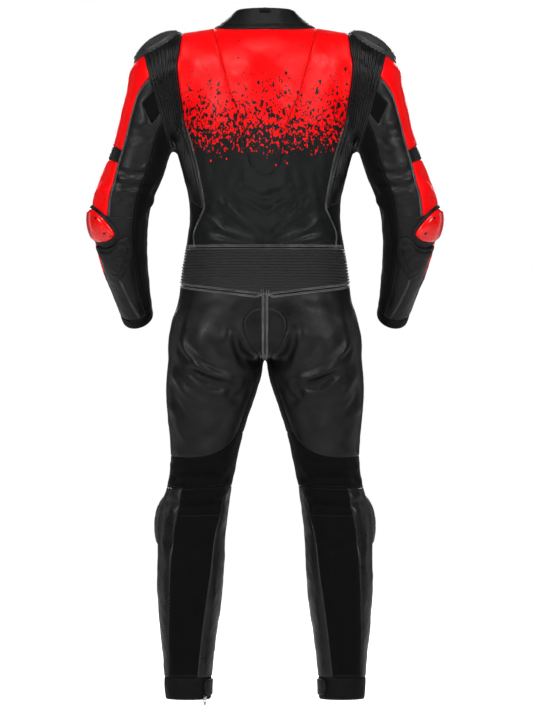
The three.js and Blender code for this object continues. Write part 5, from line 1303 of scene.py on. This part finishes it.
# Stitches of a path: pairs of points, in a straight row or a zigzag.
def stitchesOf(points, normals, pitch, zigzag=0.0, share=0.8, lift=0.1, random=None):
    length = np.concatenate([[0], np.cumsum(np.linalg.norm(np.diff(points, axis=0), axis=1))])
    count = max(2, int(length[-1] / pitch))
    at = np.linspace(0, length[-1], count + 1)
    place = np.stack([np.interp(at, length, points[:, k]) for k in range(3)], 1)
    facing = np.stack([np.interp(at, length, normals[:, k]) for k in range(3)], 1)
    along = np.gradient(place, axis=0)
    across = np.cross(facing, along)
    across /= np.maximum(np.linalg.norm(across, axis=1, keepdims=True), 1e-9)
    place = place + facing * lift + across * (zigzag * (np.arange(count + 1) % 2 * 2 - 1))[:, None]
    if random is not None:
        place = place + across * random.normal(0, 0.12, (count + 1, 1))
    a, b = place[:-1], place[1:]
    middle = (a + b) / 2
    return np.stack([middle + (a - middle) * share, middle + (b - middle) * share], 1)


# Geometry Nodes: a thread on each edge of a mesh, as long as the edge.
def makeThreadTree():
    tree = bpy.data.node_groups.new("threadOnEdges", "GeometryNodeTree")
    tree.interface.new_socket("Geometry", in_out="INPUT", socket_type="NodeSocketGeometry")
    for label, value in (("Thread Radius", 0.0005), ("Length Share", 0.5), ("Flatness", 0.8)):
        tree.interface.new_socket(label, in_out="INPUT", socket_type="NodeSocketFloat").default_value = value
    tree.interface.new_socket("Thread", in_out="INPUT", socket_type="NodeSocketMaterial")
    tree.interface.new_socket("Geometry", in_out="OUTPUT", socket_type="NodeSocketGeometry")
    given, out = tree.nodes.new("NodeGroupInput"), tree.nodes.new("NodeGroupOutput")
    points = put(tree, "GeometryNodeMeshToPoints", {"Mesh": given.outputs["Geometry"]}, mode="EDGES")
    way = put(tree, "GeometryNodeInputNamedAttribute", {"Name": "way"}, data_type="FLOAT_VECTOR")
    turn = put(tree, "FunctionNodeAlignRotationToVector", {"Vector": way.outputs[0]}, axis="Z")
    length = put(tree, "ShaderNodeVectorMath", {0: way.outputs[0]}, operation="LENGTH").outputs["Value"]
    wide = given.outputs["Thread Radius"]
    size = put(tree, "ShaderNodeCombineXYZ", {"X": wide, "Y": sumOf(tree, wide, given.outputs["Flatness"], "MULTIPLY"),
                                              "Z": sumOf(tree, length, given.outputs["Length Share"], "MULTIPLY")})
    thread = put(tree, "GeometryNodeMeshIcoSphere", {"Radius": 1.0, "Subdivisions": 1})
    placed = put(tree, "GeometryNodeInstanceOnPoints", {"Points": points.outputs[0], "Instance": thread.outputs[0],
                                                        "Rotation": turn.outputs[0], "Scale": size.outputs[0]})
    whole = put(tree, "GeometryNodeRealizeInstances", {0: placed.outputs[0]})
    finish = put(tree, "GeometryNodeSetMaterial", {"Geometry": whole.outputs[0], "Material": given.outputs["Thread"]})
    tree.links.new(finish.outputs[0], out.inputs[0])
    return tree


# Geometry Nodes: a round head on each point of a mesh, with a dark disc standing up through it as painted shade of its
# socket recess.
def makeHeadTree():
    tree = bpy.data.node_groups.new("headsWithShadeDiscs", "GeometryNodeTree")
    tree.interface.new_socket("Geometry", in_out="INPUT", socket_type="NodeSocketGeometry")
    for label, value in (("Head Radius", 0.0024), ("Head Height", 0.0012), ("Shade Disc Share", 0.5)):
        tree.interface.new_socket(label, in_out="INPUT", socket_type="NodeSocketFloat").default_value = value
    for label in ("Head", "Socket"):
        tree.interface.new_socket(label, in_out="INPUT", socket_type="NodeSocketMaterial")
    tree.interface.new_socket("Geometry", in_out="OUTPUT", socket_type="NodeSocketGeometry")
    given, out = tree.nodes.new("NodeGroupInput"), tree.nodes.new("NodeGroupOutput")
    way = put(tree, "GeometryNodeInputNamedAttribute", {"Name": "facing"}, data_type="FLOAT_VECTOR")
    turn = put(tree, "FunctionNodeAlignRotationToVector", {"Vector": way.outputs[0]}, axis="Z")
    radius, height = given.outputs["Head Radius"], given.outputs["Head Height"]
    head = put(tree, "GeometryNodeMeshCylinder", {"Vertices": 14, "Radius": radius, "Depth": height})
    head = put(tree, "GeometryNodeSetMaterial", {"Geometry": head.outputs[0], "Material": given.outputs["Head"]})
    # Painted shade: a dark cylinder through the head, standing a little above it, takes the place of the shade inside
    # the socket recess.
    shadeDisc = put(tree, "GeometryNodeMeshCylinder", {"Vertices": 6, "Radius": sumOf(tree, radius, given.outputs["Shade Disc Share"], "MULTIPLY"),
                                                  "Depth": sumOf(tree, height, 1.2, "MULTIPLY")})
    shadeDisc = put(tree, "GeometryNodeSetMaterial", {"Geometry": shadeDisc.outputs[0], "Material": given.outputs["Socket"]})
    both = put(tree, "GeometryNodeJoinGeometry")
    tree.links.new(head.outputs[0], both.inputs[0])
    tree.links.new(shadeDisc.outputs[0], both.inputs[0])
    placed = put(tree, "GeometryNodeInstanceOnPoints", {"Points": given.outputs["Geometry"], "Instance": both.outputs[0],
                                                        "Rotation": turn.outputs[0]})
    whole = put(tree, "GeometryNodeRealizeInstances", {0: placed.outputs[0]})
    tree.links.new(whole.outputs[0], out.inputs[0])
    return tree


threadTree, headTree = makeThreadTree(), makeHeadTree()


def runTree(piece, tree, **values):
    modifier = piece.modifiers.new("made", "NODES")
    modifier.node_group = tree
    sockets = {item.name: item.identifier for item in tree.interface.items_tree if item.in_out == "INPUT"}
    for label, value in values.items():
        modifier[sockets[label.replace("_", " ")]] = value
    bpy.context.view_layer.update()
    ready = bpy.data.meshes.new_from_object(piece.evaluated_get(bpy.context.evaluated_depsgraph_get()))
    piece.modifiers.remove(modifier)
    piece.data = ready


def addThreads(name, stitches, finish, radius=0.55):
    pairs = np.concatenate(stitches) / 1000
    mesh = bpy.data.meshes.new(name)
    mesh.from_pydata(pairs.reshape(-1, 3).tolist(), np.arange(2 * len(pairs)).reshape(-1, 2).tolist(), [])
    mesh.attributes.new("way", "FLOAT_VECTOR", "EDGE").data.foreach_set("vector", (pairs[:, 1] - pairs[:, 0]).ravel().astype(np.float32))
    piece = bpy.data.objects.new(name, mesh)
    bpy.context.scene.collection.objects.link(piece)
    runTree(piece, threadTree, Thread_Radius=radius / 1000, Thread=finishes[finish])
    piece.data.shade_smooth()
    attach(piece, "suit")
    print(name, len(pairs), "stitches")
    return piece


# Heads on spots; the socket finish goes on a dark disc through each head, which is painted shade of its recess.
def addHeads(name, spots, head, socket, radius, height):
    mesh = bpy.data.meshes.new(name)
    mesh.from_pydata([tuple(p / 1000) for p, _ in spots], [], [])
    mesh.attributes.new("facing", "FLOAT_VECTOR", "POINT").data.foreach_set("vector", np.array([n for _, n in spots], np.float32).ravel())
    piece = bpy.data.objects.new(name, mesh)
    bpy.context.scene.collection.objects.link(piece)
    runTree(piece, headTree, Head_Radius=radius / 1000, Head_Height=height / 1000, Head=finishes[head], Socket=finishes[socket])
    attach(piece, "suit")
    return piece


# Rows of stitches: block, direction, line, start, end, distances from the seam, thread, zigzag width.
sewing = {"pitch": 3.8, "zigzagPitch": 2.6, "radius": 0.6, "greyRadius": 0.75, "seed": 4}
seamRows = (
    ("back", "rows", 7, 7.3, 16, (-3.0, -6.2), "grey", 1.4),
    ("back", "columns", 16, 0, 10, (-3.4, -6.4), "grey", 0.9),
    ("waist", "columns", 0, 0, 10, (2.6,), "grey", 0),
    ("waist", "columns", 4, 0, 10, (-2.6, -5.4), "grey", 0.8),
    ("leg", "columns", 0, 0, 10, (2.8, 5.6), "grey", 0.8),
    ("back", "rows", 4, 0, 7.2, (-2.6, 2.6), "red", 0),
    ("back", "rows", 4, 7.3, 9.7, (-2.6, 2.6), "dark", 0),
    ("back", "columns", 10, 0, 3.7, (-2.6,), "dark", 0),
    ("back", "columns", 10, 0, 3.7, (2.6,), "dark", 0),
    ("back", "columns", 0, 0, 7, (4.5,), "red", 0),
    ("back", "rows", 7, 0.2, 7.3, (-3.0, -5.6), "red", 0),
    ("back", "rows", 10, 13, 16, (-2.6,), "dark", 0),
    ("front", "rows", 1, 0, 19, (3.0, 6.2), "dark", 0),
    ("front", "rows", 5, 0.3, 19, (2.4, -2.4), "dark", 0),
    ("front", "columns", 19, 1, 8, (-3.0, -6.0), "grey", 0.7),
    ("front", "rows", 8, 10.2, 19, (-2.8,), "dark", 0),
    ("leg", "columns", 0, 16, 23, (3.0, 6.0), "grey", 0.7),
    ("leg", "rows", 10, 6, 11, (-2.8, -5.4), "dark", 0),
    ("leg", "rows", 15, 6, 11, (2.8,), "dark", 0),
    ("leg", "columns", 11, 0, 10, (-2.8, -5.6), "dark", 0),
    ("leg", "columns", 11, 15, 23, (-2.8,), "dark", 0),
    ("leg", "rows", 0, 0, 11, (2.6,), "dark", 0),
    ("leg", "rows", 23, 11, 17, (-2.8,), "dark", 0),
    ("leg", "columns", 14, 0.2, 14.6, (-3.0, 3.0), "dark", 0),
    ("leg", "columns", 17, 0, 10, (2.6,), "dark", 0),
    ("leg", "rows", 3, 14, 24, (-2.6,), "dark", 0),
    ("leg", "rows", 10, 14, 24, (2.6,), "dark", 0),
    ("leg", "columns", 24, 0, 23, (-3.0, -6.0), "dark", 0),
    ("leg", "columns", 25, 0, 23, (-3.2,), "dark", 0),
    ("sleeve", "rows", 6, 0.3, 10, (2.8, 5.6), "grey", 0.6),
    ("sleeve", "rows", 4, 10, 15, (2.8, 5.6), "grey", 0.5),
    ("sleeve", "rows", 6, 0.3, 6, (-2.4,), "red", 0),
    ("sleeve", "rows", 6, 7, 10, (-2.4,), "red", 0),
    ("sleeve", "rows", 0, 0.3, 6, (2.4,), "red", 0),
    ("sleeve", "rows", 0, 7, 10, (2.4,), "red", 0),
    ("sleeve", "columns", 6, 0.2, 5.8, (-2.4,), "red", 0),
    ("sleeve", "columns", 7, 0.2, 5.8, (2.4,), "red", 0),
    ("sleeve", "columns", 9.1, 0.2, 5.6, (0,), "red", 0),
    ("sleeve", "columns", 2, 7.1, 9, (2.6, 5.0), "dark", 0),
    ("sleeve", "rows", (7.2, 8.6), 13.3, 15, (0, 3.0), "grey", 0),
    ("sleeve", "rows", 10, 0.3, 15, (-2.6,), "dark", 0),
    ("sleeve", "rows", 10, 0.3, 15, (2.6,), "dark", 0),
    ("sleeve", "columns", 15, 0, 20, (-2.8,), "dark", 0),
    ("collar", "columns", 0, 0, 45, (3.4, 6.0), "dark", 0),
    ("collar", "columns", 13, 0, 45, (-3.4,), "dark", 0),
    ("collar", "columns", 3.2, 0, 45, (2.4,), "dark", 0),
)
threads = {"grey": "greyThread", "dark": "darkThread", "red": "redThread"}
random = np.random.default_rng(sewing["seed"])
sewn = {}
for blockName, along, line, start, end, offsets, thread, zigzag in seamRows:
    line = np.linspace(*line, 260) if isinstance(line, tuple) else line
    for side in (1, -1):
        for offset in offsets:
            points, normals = seamPath(blocks[blockName], side, along, line, start, end, offset)
            pitch = sewing["zigzagPitch"] if zigzag else sewing["pitch"]
            made = stitchesOf(points, normals, pitch, zigzag, 0.95 if zigzag else 0.8, random=random)
            place = "sleeves" if blockName == "sleeve" else "trousers" if blockName == "leg" else "jacket"
            sewn.setdefault((place, threads[thread]), []).append(made)


# Sewing of the strap and patch.
strapNormals = outward(settle(strapShape, rounds=3))
for k, width in ((2, 1.3), (4, 1.1), (8, 1.1), (10, 1.3)):
    sewn[("trousers", "greyThread")].append(stitchesOf(strapShape[:, k], strapNormals[:, k], 2.2, width * 0.8, 0.97))
for x, z in [(x, -569.5) for x in (-8, -3.5, 3.5, 8)] + [(s * 155 + x, -472) for s in (1, -1) for x in (-4, 0, 4)]:
    tack = behindAt(np.full(6, float(x)), z + np.linspace(5.5, -5.5, 6))
    facing = outward(tack)
    sewn[("jacket", "greyThread")].append(stitchesOf(tack + facing * 2.6, facing, 2.2, 0.7, 0.98))
patchNormals = outward(settle(patchShape, rounds=3))
edge = [(i, 1) for i in range(1, 39)] + [(38, j) for j in range(2, 25)] + [(i, 25) for i in range(38, 0, -1)] + [
    (1, j) for j in range(24, 1, -1)]
edge = np.array(edge)
sewn[("trousers", "darkThread")].append(stitchesOf(patchShape[edge[:, 0], edge[:, 1]], patchNormals[edge[:, 0], edge[:, 1]], 3.6))
for (place, finish), stitches in sewn.items():
    slot = "red_leather" if finish == "redThread" else "black_leather"
    addThreads(f"{place}_{finish}", stitches, finish, sewing["greyRadius" if finish == "greyThread" else "radius"])

# Zip teeth across the middle of the tape, in two interlocking rows.
teeth = {"pitch": 1.9, "length": 2.3, "radius": 0.75, "lift": 0.5}
points, normals = seamPath(blocks["zip"], 1, "rows", 0, 0.4, 22, 0)
points[:, 0] = 0
length = np.concatenate([[0], np.cumsum(np.linalg.norm(np.diff(points, axis=0), axis=1))])
at = np.arange(1.5, length[-1], teeth["pitch"])
place = np.stack([np.interp(at, length, points[:, k]) for k in range(3)], 1)
facing = np.stack([np.interp(at, length, normals[:, k]) for k in range(3)], 1)
side = np.where(np.arange(len(at)) % 2, 1, -1) * 0.8
place = place + facing * teeth["lift"] + spot(side, 0, 0)
reach = spot(teeth["length"] / 2, 0, 0)
addThreads("front_zip_teeth", [np.stack([place - reach, place + reach], 1)], "tape", teeth["radius"])

# Screw heads of the hard cups, with painted shade for their sockets, and dark rubber discs for the air holes, which are
# partly the black leather seen through them and partly painted shade; all by their places on the back.
def spotOn(piece, x, z, sink):
    hit, place, normal, _ = piece.ray_cast(Vector((x / 1000, 1, z / 1000)), Vector((0, -1, 0)))
    return (np.array(place) * 1000 - np.array(normal) * sink, np.array(normal)) if hit else None


cupScrews = {"places": ((360, -410), (341, -443)), "radius": 2.6, "height": 1.6}
cupHoleShadeDiscs = {"places": ((243, -42), (258, -52)), "radius": 2.5, "height": 0.7}
bpy.context.view_layer.update()
# Each elbow screw gets a dark rubber disc in its head as painted shade of the socket recess.
found = [spotOn(hardPieces[f"elbow{side}"], x * side, z, 0.1) for side in (1, -1) for x, z in cupScrews["places"]]
addHeads("elbow_cup_screws", [f for f in found if f], "screw", "rubber", cupScrews["radius"], cupScrews["height"])
# Air holes: dark rubber discs raised on the cup rather than openings, partly the black leather below and partly painted
# shade.
found = [spotOn(hardPieces[f"shoulder{side}"], x * side, z, 0.15) for side in (1, -1) for x, z in cupHoleShadeDiscs["places"]]
addHeads("shoulder_cup_hole_shade_discs", [f for f in found if f], "rubber", "rubber", cupHoleShadeDiscs["radius"], cupHoleShadeDiscs["height"])
print("sewing and small parts made")

# Camera at the photograph's view: one pixel is 2.137 mm at the middle of the suit.
photo = {"mmPerPixel": 2.137, "wide": 533, "high": 711, "middleX": 265, "originY": 27, "distance": 9.0}
lens = bpy.data.cameras.new("photoCamera")
camera = bpy.data.objects.new("photoCamera", lens)
bpy.context.scene.collection.objects.link(camera)
bpy.context.scene.camera = camera
lens.sensor_width = 36  # along the picture's long side, its height
lens.lens = 36 * photo["distance"] / (photo["mmPerPixel"] * photo["high"] / 1000)
lens.clip_end = 60
camera.location = ((photo["middleX"] - photo["wide"] / 2) * photo["mmPerPixel"] / 1000, photo["distance"],
                   (photo["originY"] - photo["high"] / 2) * photo["mmPerPixel"] / 1000)
camera.rotation_euler = (math.pi / 2, 0, math.pi)

# Pale floor with soft lights from both sides, above and a little from below.
def addLight(name, place, target, size, power):
    data = bpy.data.lights.new(name, "AREA")
    data.shape, data.size, data.size_y, data.energy = "RECTANGLE", size[0], size[1], power
    light = bpy.data.objects.new(name, data)
    light.location = place
    light.rotation_euler = (Vector(target) - Vector(place)).to_track_quat("-Z", "Y").to_euler()
    bpy.context.scene.collection.objects.link(light)


studio = {"floorZ": -1.475, "reach": 40.0, "softLight": 0.08, "background": 1.0, "floorGlow": 0.93}
for name, place, target, size, power in (
    ("keyLeft", (2.3, 2.9, 1.0), (0, 0, -0.6), (0.7, 1.8), 76),
    ("keyRight", (-2.3, 2.9, 1.0), (0, 0, -0.6), (0.7, 1.8), 76),
    ("above", (0, 1.7, 2.4), (0, 0, -0.3), (1.6, 0.5), 42),
    ("low", (0, 3.2, -1.3), (0, 0, -0.9), (1.8, 0.3), 11),
    ("edgeLeft", (2.6, -1.4, -0.3), (0, 0, -0.7), (0.5, 2.2), 4),
    ("edgeRight", (-2.6, -1.4, -0.3), (0, 0, -0.7), (0.5, 2.2), 4),
    ("frontLeft", (1.1, -3.4, 0.8), (0, 0, -0.7), (0.7, 1.6), 54),
    ("frontRight", (-1.1, -3.4, 0.8), (0, 0, -0.7), (0.7, 1.6), 54),
):
    addLight(name, place, target, size, power)
floorMesh = bpy.data.meshes.new("studioFloor")
r = studio["reach"]
floorMesh.from_pydata([(-r, -r, studio["floorZ"]), (r, -r, studio["floorZ"]), (r, r, studio["floorZ"]), (-r, r, studio["floorZ"])], [], [(0, 1, 2, 3)])
floor = bpy.data.objects.new("studioFloor", floorMesh)
bpy.context.scene.collection.objects.link(floor)
material, tree, shader, at = newMaterial("paleFloor")
cloud = put(tree, "ShaderNodeTexNoise", {"Vector": at, "Scale": 3.0})
tree.links.new(mixColour(tree, cloud.outputs[0], (0.86, 0.86, 0.86), (0.88, 0.88, 0.88)), shader.inputs["Base Color"])
shader.inputs["Roughness"].default_value = 0.9
seen = put(tree, "ShaderNodeLightPath").outputs["Is Camera Ray"]
shader.inputs["Emission Color"].default_value = (1, 1, 1, 1)
tree.links.new(sumOf(tree, seen, studio["floorGlow"], "MULTIPLY"), shader.inputs["Emission Strength"])
floorMesh.materials.append(material)
world = bpy.data.worlds.new("paleStudio")
world.use_nodes = True
tree = world.node_tree
seen = put(tree, "ShaderNodeLightPath").outputs["Is Camera Ray"]
tree.links.new(rangeOf(tree, seen, 0, 1, studio["softLight"], studio["background"], False), tree.nodes["Background"].inputs[1])
tree.nodes["Background"].inputs[0].default_value = (1, 1, 1, 1)
bpy.context.scene.world = world
bpy.context.scene.view_settings.view_transform = "Standard"

print("flat sizes in mm and square cm:", flatSizes)
